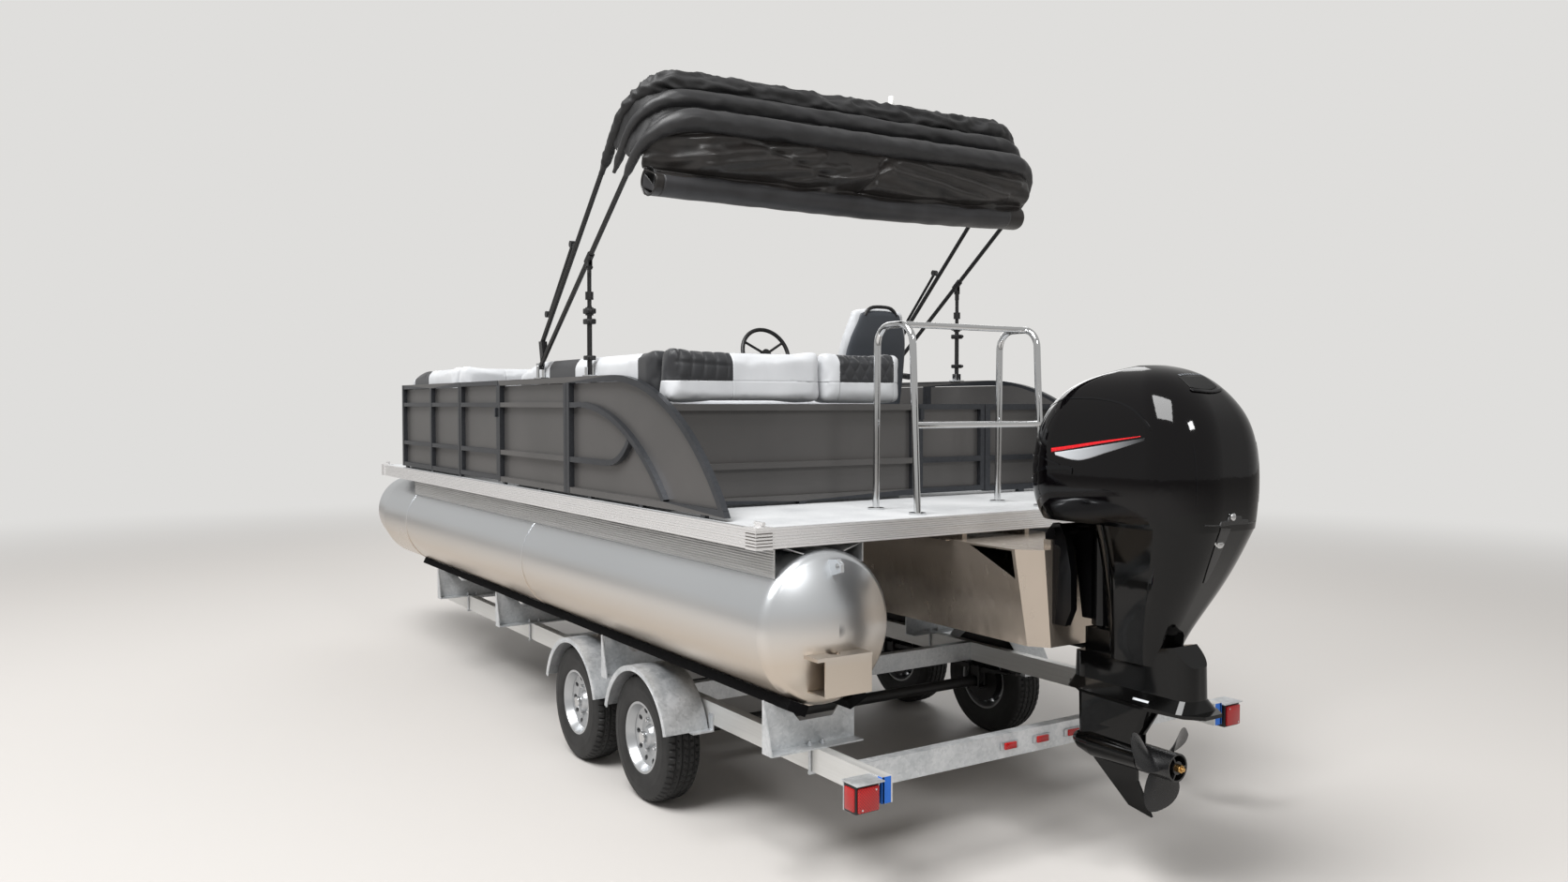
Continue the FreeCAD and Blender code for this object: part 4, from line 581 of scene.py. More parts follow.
def scrollPlace(u, v):  # loose cloth tucked into the open end of the pouch
    turn = 2 * math.pi * u
    reach = 0.006 + 0.062 * v
    deep = 0.055 * (1 - v) + 0.022 * abs(math.sin(turn * 1.5 + 0.4)) * (1 - v) * v * 4
    return at(1.102 + reach * math.cos(turn) * 1.02, 1.204 - deep, 2.972 + reach * math.sin(turn))


def foldPlace(u, v):  # a small bent fold under that end
    tip = abs(u - 0.45) / 0.55
    z = 2.925 + 0.075 * tip * (0.35 + 0.65 * v) + 0.028 * v
    return at(1.045 + 0.115 * u, 1.206 - 0.02 * math.sin(math.pi * u), z)


def flapPlace(u, v):  # corner of the cloth that sticks out past the starboard bend
    taper = (1 - u) ** 0.8
    wave = 0.012 * math.sin(3 * math.pi * v) * (1 - u)
    return at(1.10 + 0.16 * (v - 0.5) * taper + 0.01 * u, -1.13 - 0.145 * u,
              3.345 - 0.055 * u + 0.085 * (v - 0.5) * taper + wave)


def clothPiece(skin, name, material, thick=0.0):
    if thick:
        addMod(skin, "SOLIDIFY", thickness=thick, offset=0)
    return finishPiece(skin, name, "sun_top", "canopy_cloth", material)


def makeSunTop():
    dark = canopyCloth("acrylic_canopy_cloth", "08080a", "151517")
    sleeve = canopyCloth("acrylic_sleeve_cloth", "131315", "202022", 0.5)
    under = canopyCloth("coated_canopy_underside", "0e0c0b", "1f1b19", 0.36)
    band = canopyCloth("canopy_valance_cloth", "1a1a1c", "2a2a2d", 0.45)
    thin, wide = sunTop["clothThick"], sunTop["bandThick"]
    topRoll = clothRoll(sunTop["mainLeg"], 0.026, 0.060, (-0.006, 0.024), 0.024, 3.0, 360, 40)
    clothPiece(topRoll, "canopy_top_roll", dark)
    middle = clothRoll(sunTop["middleLeg"], 0.022, 0.047, (0.004, 0.024), 0.007, 9.0)
    clothPiece(middle, "canopy_middle_roll", sleeve)
    lower = clothRoll(sunTop["rearLeg"], 0.024, 0.056, (0.022, 0.048), 0.007, 14.0)
    clothPiece(lower, "canopy_lower_roll", sleeve)
    gathers = clothPiece(gridSkin(180, 30, gatheredPlace), "canopy_gathered_sheet", dark, thin)
    sheet = clothPiece(gridSkin(200, 96, hangingPlace), "canopy_hanging_sheet", under, thin)
    valance = clothPiece(gridSkin(200, 26, valancePlace), "canopy_valance", band, wide)
    scroll = clothPiece(gridSkin(60, 14, scrollPlace, closed=True), "canopy_pouch_end", dark, thin)
    fold = clothPiece(gridSkin(16, 6, foldPlace), "canopy_pouch_fold", band, wide)
    flap = clothPiece(gridSkin(18, 12, flapPlace), "canopy_corner_flap", sleeve, 0.003)
    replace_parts(sheet, "top_canopy")


makeSunTop()

print("stage: upholstery")
# every cushion: low and high corner, how far the top leans in, seams, black regions, quilt, drop at one end
seats = {
    "voxel": 0.014, "swell": 1.6, "mostMove": 0.012, "round": 0.034, "seamDepth": 0.004,
    "quiltCell": (0.064, 0.072), "quiltLevel": 2.038,
    "cushions": [
        {"name": "bench_back_stern", "low": (0.905, 0.354, 1.934), "high": (1.045, 1.205, 2.183),
         "lean": (0.05, 0), "seams": [("y", 0.87), ("z", 2.038)], "quilt": "square",
         "black": [((0.8, 0.87, 2.038), (1.1, 1.3, 2.3))]},
        {"name": "bench_back_end", "low": (0.905, -0.146, 1.934), "high": (1.045, 0.344, 2.183),
         "lean": (0.05, 0), "seams": [("y", 0.251), ("y", -0.095), ("z", 2.038)], "quilt": "diamond",
         "black": [((0.8, -0.095, 2.038), (1.1, 0.251, 2.3))]},
        {"name": "bench_back_port", "low": (1.052, 1.07, 1.934), "high": (2.852, 1.205, 2.183),
         "lean": (0, -0.05), "seams": [("x", 1.207), ("x", 1.965), ("x", 2.335)], "fall": (2.42, 2.86, 0.085),
         "black": [((1.0, 1.0, 1.9), (1.207, 1.3, 2.3)), ((1.965, 1.0, 1.9), (2.335, 1.3, 2.3))]},
        {"name": "bench_seat_stern", "low": (1.05, -0.146, 1.834), "high": (1.515, 1.06, 1.936)},
        {"name": "bench_seat_port", "low": (1.522, 0.645, 1.834), "high": (2.852, 1.06, 1.936),
         "seams": [("x", 2.18)]},
        {"name": "lounge_back_side", "low": (4.09, 1.07, 1.934), "high": (5.184, 1.205, 2.183),
         "lean": (0, -0.05), "seams": [("x", 4.70), ("x", 5.06)], "fall": (4.78, 5.19, 0.07),
         "black": [((4.70, 1.0, 1.9), (5.06, 1.3, 2.3))], "pair": True},
        {"name": "lounge_back_aft", "low": (3.945, 0.566, 1.934), "high": (4.083, 1.205, 2.183),
         "lean": (0.05, 0), "seams": [("y", 0.9)], "pair": True},
        {"name": "lounge_seat", "low": (4.09, 0.566, 1.834), "high": (5.184, 1.06, 1.936),
         "seams": [("x", 4.66)], "pair": True},
    ],
}
axisIndex = {"x": 0, "y": 1, "z": 2}


def plumped(piece, dials, bend=None):  # one skin, bent if told, inflated a little, then made fine
    addMod(piece, "REMESH", mode="VOXEL", voxel_size=dials["voxel"], use_smooth_shade=True)
    for point in piece.data.vertices if bend else ():
        bend(point)
    swollen(piece, dials["swell"], dials["mostMove"])
    return addMod(piece, "SUBSURF", levels=1, render_levels=1)


def swollen(piece, pressure, mostMove):  # inflates the cover a little, and keeps what it rests on flat
    simSteps, flatBand = 20, 0.03
    before = [point.co.copy() for point in piece.data.vertices]
    pick(piece)
    mod = piece.modifiers.new("Cloth", "CLOTH")
    mod.settings.use_pressure = True
    mod.settings.uniform_pressure_force = pressure
    mod.settings.effector_weights.gravity = 0
    mod.settings.quality = 4
    mod.point_cache.frame_start = 1
    mod.point_cache.frame_end = simSteps
    for step in range(simSteps):
        bpy.context.scene.frame_set(step + 1)
    bpy.ops.object.modifier_apply(modifier=mod.name)
    bpy.context.scene.frame_set(1)
    lowest = min(point.z for point in before)
    for old, point in zip(before, piece.data.vertices):
        move = point.co - old
        if move.length > mostMove:
            point.co = old + move * (mostMove / move.length)
        if old.z < lowest + flatBand:
            point.co.z = max(point.co.z, lowest)


def seamCut(piece, axis, value):  # a sewn line: three close cuts, the middle one drawn in
    index = axisIndex[axis]
    normal = Vector((0, 0, 0))
    normal[index] = 1
    place = value + (aftX if axis == "x" else 0)
    openMesh(piece)
    for shift in (-0.006, 0.0, 0.006):
        bpy.ops.mesh.select_all(action="SELECT")
        spot = Vector((0, 0, 0))
        spot[index] = place + shift
        bpy.ops.mesh.bisect(plane_co=spot, plane_no=normal)
    bpy.ops.object.mode_set(mode="OBJECT")
    for point in piece.data.vertices:
        if abs(point.co[index] - place) < 0.0006:
            point.co -= point.normal * seats["seamDepth"]


def quiltDepth(kind, y, z):
    cellY, cellZ = seats["quiltCell"]
    level = seats["quiltLevel"]
    if kind == "square":
        a = (y + 0.12 * z) / cellY
        b = (z - level - 0.05 * (y - 0.9)) / cellZ
    else:
        a = (y + 0.62 * (z - level)) / cellY
        b = (y - 0.62 * (z - level)) / cellY
    near = min(abs(a - round(a)) * cellY, abs(b - round(b)) * cellZ)
    puff = abs(math.sin(math.pi * a) * math.sin(math.pi * b)) ** 0.5
    return 0.005 * puff - 0.003 * math.exp(-(near / 0.005) ** 2)


def makeCushion(row, light, black):
    low, high = at(*row["low"]), at(*row["high"])
    leanX, leanY = row.get("lean", (0, 0))

    def bend(point):
        up = (point.co.z - low.z) / (high.z - low.z)
        if leanX and point.co.x > low.x + 0.02:
            point.co.x -= leanX * up * (point.co.x - low.x) / (high.x - low.x)
        if leanY and point.co.y < high.y - 0.02:
            point.co.y -= leanY * up * (high.y - point.co.y) / (high.y - low.y)
        if "fall" in row:
            start, end, drop = row["fall"]
            run = max(0.0, (point.co.x - aftX - start) / (end - start))
            point.co.z -= drop * run * run * up
    piece = blockPiece(low, high, seats["round"], 5)
    addMod(piece, "SUBSURF", subdivision_type="SIMPLE", levels=2, render_levels=2)
    plumped(piece, seats, bend)
    for axis, value in row.get("seams", []):
        seamCut(piece, axis, value)
    regions = [(at(*corner), at(*far)) for corner, far in row.get("black", [])]
    piece.data.materials.clear()
    piece.data.materials.append(light)
    piece.data.materials.append(black)
    for face in piece.data.polygons:
        inside = any(all(a[k] < face.center[k] < b[k] for k in range(3)) for a, b in regions)
        face.material_index = 1 if inside else 0
    if row.get("quilt"):
        (a, b), = regions
        edge, endY = 0.012, 1.17
        for point in piece.data.vertices:
            x, y, z = point.co
            if a.y + edge < y < b.y - edge and z > a.z + edge and y < endY:
                point.co += point.normal * quiltDepth(row["quilt"], y, z)
    return seated(piece, row["name"], "boat")


def makeSeats():
    light = seatVinyl("light_grey_vinyl_cover", "b9bbbe", "c9cbce")
    black = seatVinyl("black_vinyl_cover", "17181b", "222428")
    made = {}
    for row in seats["cushions"]:
        piece = makeCushion(row, light, black)
        if row.get("pair"):
            twin = seated(copied(piece, mirror=True), row["name"] + "_starboard", "boat")
            piece.name = piece.data.name = row["name"] + "_port"
            made[twin.name] = twin
        made[piece.name] = piece
    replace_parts(made["bench_seat_stern"], "bench_cushions")
    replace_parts(made["lounge_seat_port"], "lounge_cushions")
    return light, black


coverLight, coverBlack = makeSeats()

print("stage: helm chair")
helmChair = {
    "x": 2.12, "y": -0.70, "seat": 1.80, "voxel": 0.016, "swell": 1.2, "mostMove": 0.008, "edge": 0.030,
    # stacked sections: aft and fore from the post, half width, height over the seat's underside
    "cushion": [(-0.25, 0.262, 0.26, 0.002), (-0.262, 0.285, 0.28, 0.062), (-0.25, 0.27, 0.265, 0.123)],
    "back": [(-0.250, -0.125, 0.225, 0.10), (-0.270, -0.160, 0.25, 0.36), (-0.302, -0.205, 0.245, 0.52),
             (-0.322, -0.250, 0.195, 0.690)],
    "shell": [(-0.268, -0.22, 0.205, 0.09), (-0.290, -0.235, 0.225, 0.36), (-0.320, -0.27, 0.205, 0.53),
              (-0.334, -0.295, 0.150, 0.668)],
    # bent bars: forward of the post, across, height over the seat's underside
    "grip": [(-0.322, -0.12, 0.665), (-0.325, -0.10, 0.712), (-0.325, 0.0, 0.722), (-0.325, 0.10, 0.712),
             (-0.322, 0.12, 0.665)],
    "arm": [(-0.262, 1, 0.30), (-0.10, 1, 0.32), (0.06, 1, 0.32), (0.135, 1, 0.29), (0.15, 0.93, 0.06)],
    "armReach": 0.272, "seams": (-0.18, 0.18),
}


def chairBlock(rows, columns=48, levels=24, power=3.2):  # a block with round edges round stacked sections
    x, seat = helmChair["x"], helmChair["seat"]
    table = [Vector((x + aft, x + fore, half)) for aft, fore, half, up in rows]
    heights = [Vector((seat + up, 0, 0)) for aft, fore, half, up in rows]
    endShare = 0.12

    def place(u, v):
        turn = 2 * math.pi * u
        share = max(0.0, min(1.0, (v - endShare) / (1 - 2 * endShare)))
        aft, fore, half = smoothLine(table, share)
        z = smoothLine(heights, share).x
        shrink = 1.0
        if v < endShare or v > 1 - endShare:
            turnIn = math.pi / 2 * min(v, 1 - v) / endShare
            shrink = math.sin(turnIn)
            z += math.copysign(helmChair["edge"] * math.cos(turnIn), v - 0.5)
        c, s = math.cos(turn), math.sin(turn)
        across = math.copysign(abs(s) ** (2 / power), s) * half * shrink
        ahead = math.copysign(abs(c) ** (2 / power), c) * (fore - aft) / 2 * shrink
        return at((aft + fore) / 2 + ahead, helmChair["y"] + across, z)
    return gridSkin(columns, levels, place, closed=True)


def chairBar(points, radius):
    x, y, z = helmChair["x"], helmChair["y"], helmChair["seat"]
    return bentBar([(x + ahead, y + across, z + up) for ahead, across, up in points], radius)


def makeChair():
    x, y, seat = helmChair["x"], helmChair["y"], helmChair["seat"]
    cushion = plumped(chairBlock(helmChair["cushion"]), helmChair)
    for shift in helmChair["seams"]:
        seamCut(cushion, "y", y + shift)
    finishPiece(cushion, "helm_chair_cushion", "chair", "seat_vinyl", coverLight)
    back = plumped(chairBlock(helmChair["back"], 64, 30, 3.0), helmChair)
    finishPiece(back, "helm_chair_back", "chair", "seat_vinyl", coverLight)
    rear = smoothed(chairBlock(helmChair["shell"], 64, 30, 2.6))
    slate = satinBlack("slate_seat_shell", "3c4046", 0.5, 420)
    finishPiece(rear, "helm_chair_shell", "chair", "seat_vinyl", slate)
    finishPiece(chairBar(helmChair["grip"], 0.011), "helm_chair_grip", "chair", "black_plastic")
    arms = []
    for reach in (-helmChair["armReach"], helmChair["armReach"]):
        arms.append(chairBar([(ahead, reach * share, up) for ahead, share, up in helmChair["arm"]], 0.019))
    finishPiece(joinedPiece(arms), "helm_chair_arms", "chair", "seat_vinyl", coverBlack)
    socket = rodPiece(at(x, y, seat - 0.055), at(x, y, seat + 0.004), 0.055, 40, 0.004)
    finishPiece(socket, "helm_chair_swivel", "chair", "polished_steel")
    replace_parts(back, "helm_chair")


makeChair()

print("stage: engine trim")
engineTrim = {
    # points near the skin: forward of the deck's stern face, across, height, and a width where it changes
    "stripe": [(-0.552, 0.262, 1.747, 0.016), (-0.66, 0.264, 1.763, 0.013), (-0.80, 0.264, 1.785, 0.010),
               (-0.985, 0.262, 1.812, 0.003)],
    "chevronTop": [(-0.57, 0.262, 1.738), (-0.70, 0.262, 1.757), (-0.84, 0.262, 1.779),
                   (-1.005, 0.262, 1.806)],
    "chevronLow": [(-0.575, 0.262, 1.728), (-0.700, 0.262, 1.712), (-0.84, 0.262, 1.748),
                   (-1.005, 0.262, 1.797)],
    # moulded creases of the upper cowl: points, width, rise
    "creases": [
        ([(-0.43, 0.16, 1.90), (-0.56, 0.22, 1.955), (-0.74, 0.235, 1.962), (-0.90, 0.235, 1.925),
          (-1.01, 0.24, 1.85), (-1.06, 0.24, 1.76), (-1.075, 0.235, 1.66)], 0.009, 0.0016),
        ([(-1.165, 0.185, 1.79), (-1.178, 0.185, 1.70), (-1.18, 0.182, 1.62), (-1.175, 0.18, 1.565)],
         0.004, 0.0008),
        ([(-0.36, 0.15, 1.70), (-0.40, 0.21, 1.725), (-0.50, 0.262, 1.715), (-0.60, 0.264, 1.690)],
         0.007, 0.002),
        ([(-0.40, 0.20, 1.63), (-0.47, 0.25, 1.665), (-0.56, 0.262, 1.678), (-0.655, 0.264, 1.680),
          (-0.66, 0.264, 1.655)], 0.016, 0.003),
    ],
    "backPanel": [(-1.19, 0.0, 1.520, 0.052), (-1.175, 0.07, 1.520, 0.052), (-1.16, 0.135, 1.522, 0.050)],
    "backStrip": [(-1.185, 0.048, 1.485, 0.058), (-1.165, 0.050, 1.42, 0.050), (-1.13, 0.046, 1.34, 0.036),
                  (-1.10, 0.040, 1.275, 0.014)],
    # round pieces: place and radius
    "badge": (-1.168, 0.052, 1.432, 0.027), "button": (-1.20, 0.018, 1.522, 0.014),
    "plugs": [(-0.588, 0.0745, 0.8035, 0.012), (-0.733, 0.0625, 0.797, 0.015)],
    "shaftX": -0.775, "slots": 9, "slotStep": 0.016, "shaftZ": 0.540,
}


def ontoSkin(piece, target, rise, centre):  # lays a flat piece on a node, facing out, and makes it thick
    middle = sum((point.co for point in piece.data.vertices), Vector()) / len(piece.data.vertices)
    normal = sum((face.normal * face.area for face in piece.data.polygons), Vector())
    if normal.dot(middle - centre) < 0:
        turnedOver(piece)
    addMod(piece, "SHRINKWRAP", target=nodes[target], wrap_method="NEAREST_SURFACEPOINT",
           wrap_mode="ABOVE_SURFACE", offset=0.0003)
    return addMod(piece, "SOLIDIFY", thickness=rise, offset=1)


def ribbon(points, width=None, columns=64, rows=3):  # points carry their own width last, or share one
    spots = [Vector(point[:3]) for point in points]
    widths = [Vector((point[3] if width is None else width, 0, 0)) for point in points]
    last = len(spots) - 1
    headings = [(spots[min(i + 1, last)] - spots[max(i - 1, 0)]).normalized() for i in range(len(spots))]
    crownFrom, crownLean = 1.93, 1.2  # above this height the skin turns to face up

    def place(u, v):
        spot = smoothLine(spots, u)
        out = Vector((spot.x - engineTrim["shaftX"], spot.y * 1.6, 0)).normalized()
        if spot.z > crownFrom:
            out = (out + Vector((0, 0, crownLean))).normalized()
        side = out.cross(smoothLine(headings, u).normalized()).normalized()
        return at(*spot) + side * (v - 0.5) * smoothLine(widths, u).x
    return gridSkin(columns, rows, place)


def sided(points, mirror):
    return [(x, y * mirror, *rest) for x, y, *rest in points]


# the dark patch laid in the handhold's recess: painted shade
def handholdShadePlace(u, v):
    a, b = (u - 0.5) * 2, (v - 0.5) * 2
    bend = 1 - 0.35 * abs(a) ** 2.4
    return at(-1.075 - 0.034 * b * bend + 0.02 * a * a, 0.015 + 0.078 * a, 2.03 - 0.03 * b)


def lipPlace(u, v):
    a, b = (u - 0.5) * 2, (v - 0.5) * 2
    return at(-1.116 - 0.010 * b + 0.024 * a * a, 0.015 + 0.088 * a, 1.99)


def makeSideTrim(core):
    red = satinBlack("red_vinyl_stripe", "c3121b", 0.25, 80)
    grey = greyFade()
    crease = glossBlack("gloss_black_bead", "08080a")
    for side, mirror in (("port", 1), ("starboard", -1)):
        stripe = ontoSkin(ribbon(sided(engineTrim["stripe"], mirror)), "cowl_upper", 0.0006, core)
        finishPiece(stripe, "engine_stripe_" + side, "engine", "engine_gloss", red)
        top, low = sided(engineTrim["chevronTop"], mirror), sided(engineTrim["chevronLow"], mirror)
        chevron = gridSkin(60, 8, lambda u, v: at(*(smoothLine(top, u) * (1 - v) + smoothLine(low, u) * v)))
        ontoSkin(chevron, "cowl_upper", 0.0005, core)
        finishPiece(chevron, "engine_chevron_" + side, "engine", "engine_gloss", grey)
        beads = []
        for points, width, rise in engineTrim["creases"]:
            beads.append(ontoSkin(ribbon(sided(points, mirror), width, 72, 4), "cowl_upper", rise, core))
        finishPiece(smoothed(joinedPiece(beads)), "engine_creases_" + side, "engine", "engine_gloss", crease)
    return crease


def makeBackTrim(core, crease):
    blackTrim = satinBlack("satin_black_trim", "1a1a1b", 0.4)
    steel = finishes["polished_steel"]
    lowCore = at(engineTrim["shaftX"], 0, 1.4)
    strip = ontoSkin(ribbon(engineTrim["backStrip"], None, 40, 4), "cowl_lower", 0.003, lowCore)
    finishPiece(smoothed(strip), "engine_back_strip", "engine", "engine_metal", blackTrim)
    across = sided(reversed(engineTrim["backPanel"][1:]), -1) + engineTrim["backPanel"]
    panel = ontoSkin(ribbon(across, None, 48, 4), "cowl_lower", 0.0035, core)
    finishPiece(smoothed(panel), "engine_back_panel", "engine", "engine_metal", blackTrim)
    x, y, z, radius = engineTrim["badge"]
    badge = rodPiece(at(x + 0.012, y, z), at(x - 0.012, y, z + 0.002), radius, 48, 0.002)
    ring = rodPiece(at(x - 0.004, y, z), at(x - 0.0135, y, z + 0.002), radius * 0.62, 48, 0.0015)
    finishPiece(joinedPiece([badge, ring]), "engine_round_badge", "engine", "engine_metal", steel)
    x, y, z, radius = engineTrim["button"]
    button = rodPiece(at(x + 0.012, y, z), at(x - 0.012, y, z), radius, 40, 0.003)
    finishPiece(button, "engine_flush_button", "engine", "engine_metal", steel)
    # a matte black patch in the handhold's recess stands in for its shade: painted shade
    handholdShade = ontoSkin(gridSkin(28, 12, handholdShadePlace), "cowl_upper", 0.0008, core)
    shadow = satinBlack("handhold_shadow", "020202", 0.8)
    finishPiece(handholdShade, "engine_handhold", "engine", "engine_gloss", shadow)
    lip = ontoSkin(gridSkin(28, 4, lipPlace), "cowl_upper", 0.006, core)
    addMod(lip, "SUBSURF", levels=1, render_levels=1)
    finishPiece(lip, "engine_handhold_lip", "engine", "engine_gloss", crease)
    slots = []
    for index in range(engineTrim["slots"]):
        y = 0.075 - engineTrim["slotStep"] * index
        slot = gridSkin(3, 3, lambda u, v: at(-1.012 - 0.016 * v, y - 0.010 * u, 2.06))
        slots.append(ontoSkin(slot, "cowl_upper", 0.0006, core))
    slotGrey = satinBlack("vent_slot_grey", "55585c", 0.5)
    finishPiece(joinedPiece(slots), "engine_vent_slots", "engine", "engine_gloss", slotGrey)


def makeLowTrim():
    plugs = []
    for x, y, z, radius in engineTrim["plugs"]:
        plugs.append(rodPiece(at(x, 0.030, z), at(x, y, z), radius, 32, 0.003))
    finishPiece(joinedPiece(plugs), "engine_side_plugs", "engine", "engine_metal", finishes["polished_steel"])
    label = gridSkin(6, 3, lambda u, v: at(-0.83 - 0.075 * u, 0.10, 0.802 - 0.032 * v))
    ontoSkin(label, "mid_section", 0.0008, at(-0.8, 0, 0.78))
    silver = satinBlack("brushed_silver_label", "b9bcc0", 0.35, 60)
    finishPiece(label, "engine_blank_label", "engine", "engine_metal", silver)
    z = engineTrim["shaftZ"]
    nut = rodPiece(at(-0.958, 0, z), at(-0.985, 0, z), 0.017, 6, 0.002)
    pin = rodPiece(at(-0.98, 0, z), at(-0.995, 0, z), 0.009, 20, 0.002)
    finishPiece(joinedPiece([nut, pin]), "propeller_nut", "screw", "propeller_paint", brassTurned())


def greyFade():
    # printed vinyl film: pale grey that fades to black aft
    paint = newFinish("grey_fade_vinyl", "9a9da1", 0.25)
    ahead = pattern(paint, "ShaderNodeSeparateXYZ")[0]
    return tinted(paint, ahead, "1d1e20", "b2b5b9", aftX - 1.0, aftX - 0.60)


def brassTurned():
    # turned brass: warm, with fine lathe lines
    paint = newFinish("turned_brass", "b8925a", 0.25, 1.0)
    return bumped(paint, grain(paint, 260, 2, (3, 1, 1)), 0.15, 0.0004)


engineCore = at(engineTrim["shaftX"], 0, 1.66)
beadBlack = makeSideTrim(engineCore)
makeBackTrim(engineCore, beadBlack)
makeLowTrim()

print("stage: tyres and wheels")
wheels = {
    "places": {"rear": 1.230, "front": 2.029}, "trackHalf": 1.112, "radius": 0.311,
    "around": 216, "across": 118,
    # half section of the tyre, from bead to the middle of the tread: across, radius
    "section": [(-0.078, 0.169), (-0.088, 0.178), (-0.0925, 0.205), (-0.0925, 0.235), (-0.089, 0.268),
                (-0.082, 0.292), (-0.070, 0.303), (-0.052, 0.3085), (-0.034, 0.3100), (-0.017, 0.3106),
                (0.0, 0.3108)],
    "grooves": [-0.048, -0.017, 0.017, 0.048], "grooveDeep": 0.0095, "grooveWide": 0.0040, "sipes": 54,
    "nutCircle": 0.078, "nuts": 5,
}


def tyreMesh():
    half = wheels["section"]
    full = half + [(-across, radius) for across, radius in reversed(half[:-1])]
    centre = at(wheels["places"]["rear"], wheels["trackHalf"], wheels["radius"])
    boreFrom = 0.94
    edge, bore = full[-1]

    def place(u, v):
        turn = 2 * math.pi * u
        if v < boreFrom:
            across, radius = smoothLine(full, v / boreFrom)
        else:  # bore, flat across the rim
            across, radius = edge - 2 * edge * (v - boreFrom) / (1 - boreFrom), bore
        sink = max(math.exp(-((across - groove) / wheels["grooveWide"]) ** 4) for groove in wheels["grooves"])
        wave = (u * wheels["sipes"] + 0.25 * math.sin(across * 60)) % 1
        if 0.050 < abs(across) < 0.086 and wave < 0.22:  # shoulder blocks
            sink = max(sink, 0.9)
        if abs(across) <= 0.050 and wave < 0.24:
            sink = max(sink, 0.6)
        radius -= sink * wheels["grooveDeep"] * eased((radius - 0.290) / 0.010)
        if 0.236 < radius < 0.250 and abs(across) > 0.08:  # moulded ring on the side
            across += math.copysign(0.0012, across)
        radius = min(radius, 0.3109)
        return centre + Vector((radius * math.sin(turn), across, -radius * math.cos(turn)))
    return smoothed(gridSkin(wheels["around"], wheels["across"], place, closed=True), 32)


def makeWheels():
    tyre = tyreMesh()
    x, y, z = wheels["places"]["rear"], wheels["trackHalf"], wheels["radius"]
    nuts = []
    for index in range(wheels["nuts"]):
        turn = math.radians(360 / wheels["nuts"] * index + 18)
        nutX, nutZ = x + wheels["nutCircle"] * math.sin(turn), z + wheels["nutCircle"] * math.cos(turn)
        nuts.append(rodPiece(at(nutX, y + 0.026, nutZ), at(nutX, y + 0.047, nutZ), 0.0115, 6, 0.0025))
    nuts = joinedPiece(nuts + [rodPiece(at(x, y + 0.060, z), at(x, y + 0.0835, z), 0.029, 40, 0.006)])
    for side, mirror in (("port", False), ("starboard", True)):
        for end, placeX in wheels["places"].items():
            wheel = side + "_" + end
            shift = (placeX - x, 0, 0)
            rubber = copied(tyre, shift, mirror)
            finishPiece(rubber, "tyre_tread_" + wheel, "wheel_" + wheel, "tyre_rubber")
            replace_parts(rubber, "tyre_" + wheel)
            finishPiece(copied(nuts, shift, mirror), "wheel_nuts_" + wheel, "wheel_" + wheel, "polished_steel")
    for spare in (tyre, nuts):
        bpy.data.objects.remove(spare)


makeWheels()

print("stage: trailer lamps")
lamps = {
    # every block: low corner, high corner, rounding; port side, then turned over
    "shell": [((-0.427, 1.017, 0.412), (-0.352, 1.126, 0.519), 0.005)],
    "lenses": [((-0.439, 1.024, 0.419), (-0.425, 1.119, 0.512), 0.005),
               ((-0.421, 1.122, 0.422), (-0.360, 1.1315, 0.509), 0.004)],
    "plates": [((-0.441, 1.000, 0.521), (-0.340, 1.131, 0.527), 0.0015),
               ((-0.352, 1.000, 0.412), (-0.346, 1.126, 0.521), 0.001)],
    "tape": [((-0.4228, 0.958, 0.431), (-0.4212, 0.998, 0.531), 0.0),
             ((-0.4228, 0.990, 0.431), (-0.398, 1.0014, 0.531), 0.0)],
    "screws": [(1.040, 0.500), (1.103, 0.431)], "bolts": [(-0.405, 0.455), (-0.405, 0.505), (-0.375, 0.48)],
    # three small lamps on the rear cross member: how far across each stands
    "markers": (-0.190, 0.0, 0.190),
}


def makeLamps():
    blocks = {key: joinedPiece([blockPiece(at(*low), at(*high), bevel) for low, high, bevel in lamps[key]])
              for key in ("shell", "lenses", "plates", "tape")}
    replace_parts(bothHands(blocks["shell"], "tail_lamp_shells", "boat", "black_plastic"), "tail_lights")
    bothHands(blocks["lenses"], "tail_lamp_lenses", "boat", "lamp_red")
    bothHands(blocks["plates"], "tail_lamp_plates", "boat", "zinc_steel")
    blue = satinBlack("blue_cloth_tape", "1763c2", 0.55, 900)
    bothHands(blocks["tape"], "tail_lamp_tape", "boat", "lamp_red", blue)
    screws = [rodPiece(at(-0.4385, y, z), at(-0.4405, y, z), 0.004, 16, 0.001) for y, z in lamps["screws"]]
    screws += [rodPiece(at(x, 1.0, z), at(x, 1.009, z), 0.009, 6, 0.0015) for x, z in lamps["bolts"]]
    bothHands(joinedPiece(screws), "tail_lamp_screws", "boat", "polished_steel")
    bases, lenses = [], []
    for y in lamps["markers"]:
        bases.append(blockPiece(at(-0.259, y - 0.05, 0.464), at(-0.2495, y + 0.05, 0.500), 0.004))
        lenses.append(blockPiece(at(-0.2675, y - 0.033, 0.468), at(-0.256, y + 0.033, 0.496), 0.003))
    finishPiece(joinedPiece(bases), "marker_lamp_bases", "boat", "polished_steel", finishes["rim_steel"])
    finishPiece(joinedPiece(lenses), "marker_lamp_lenses", "boat", "lamp_red")


makeLamps()

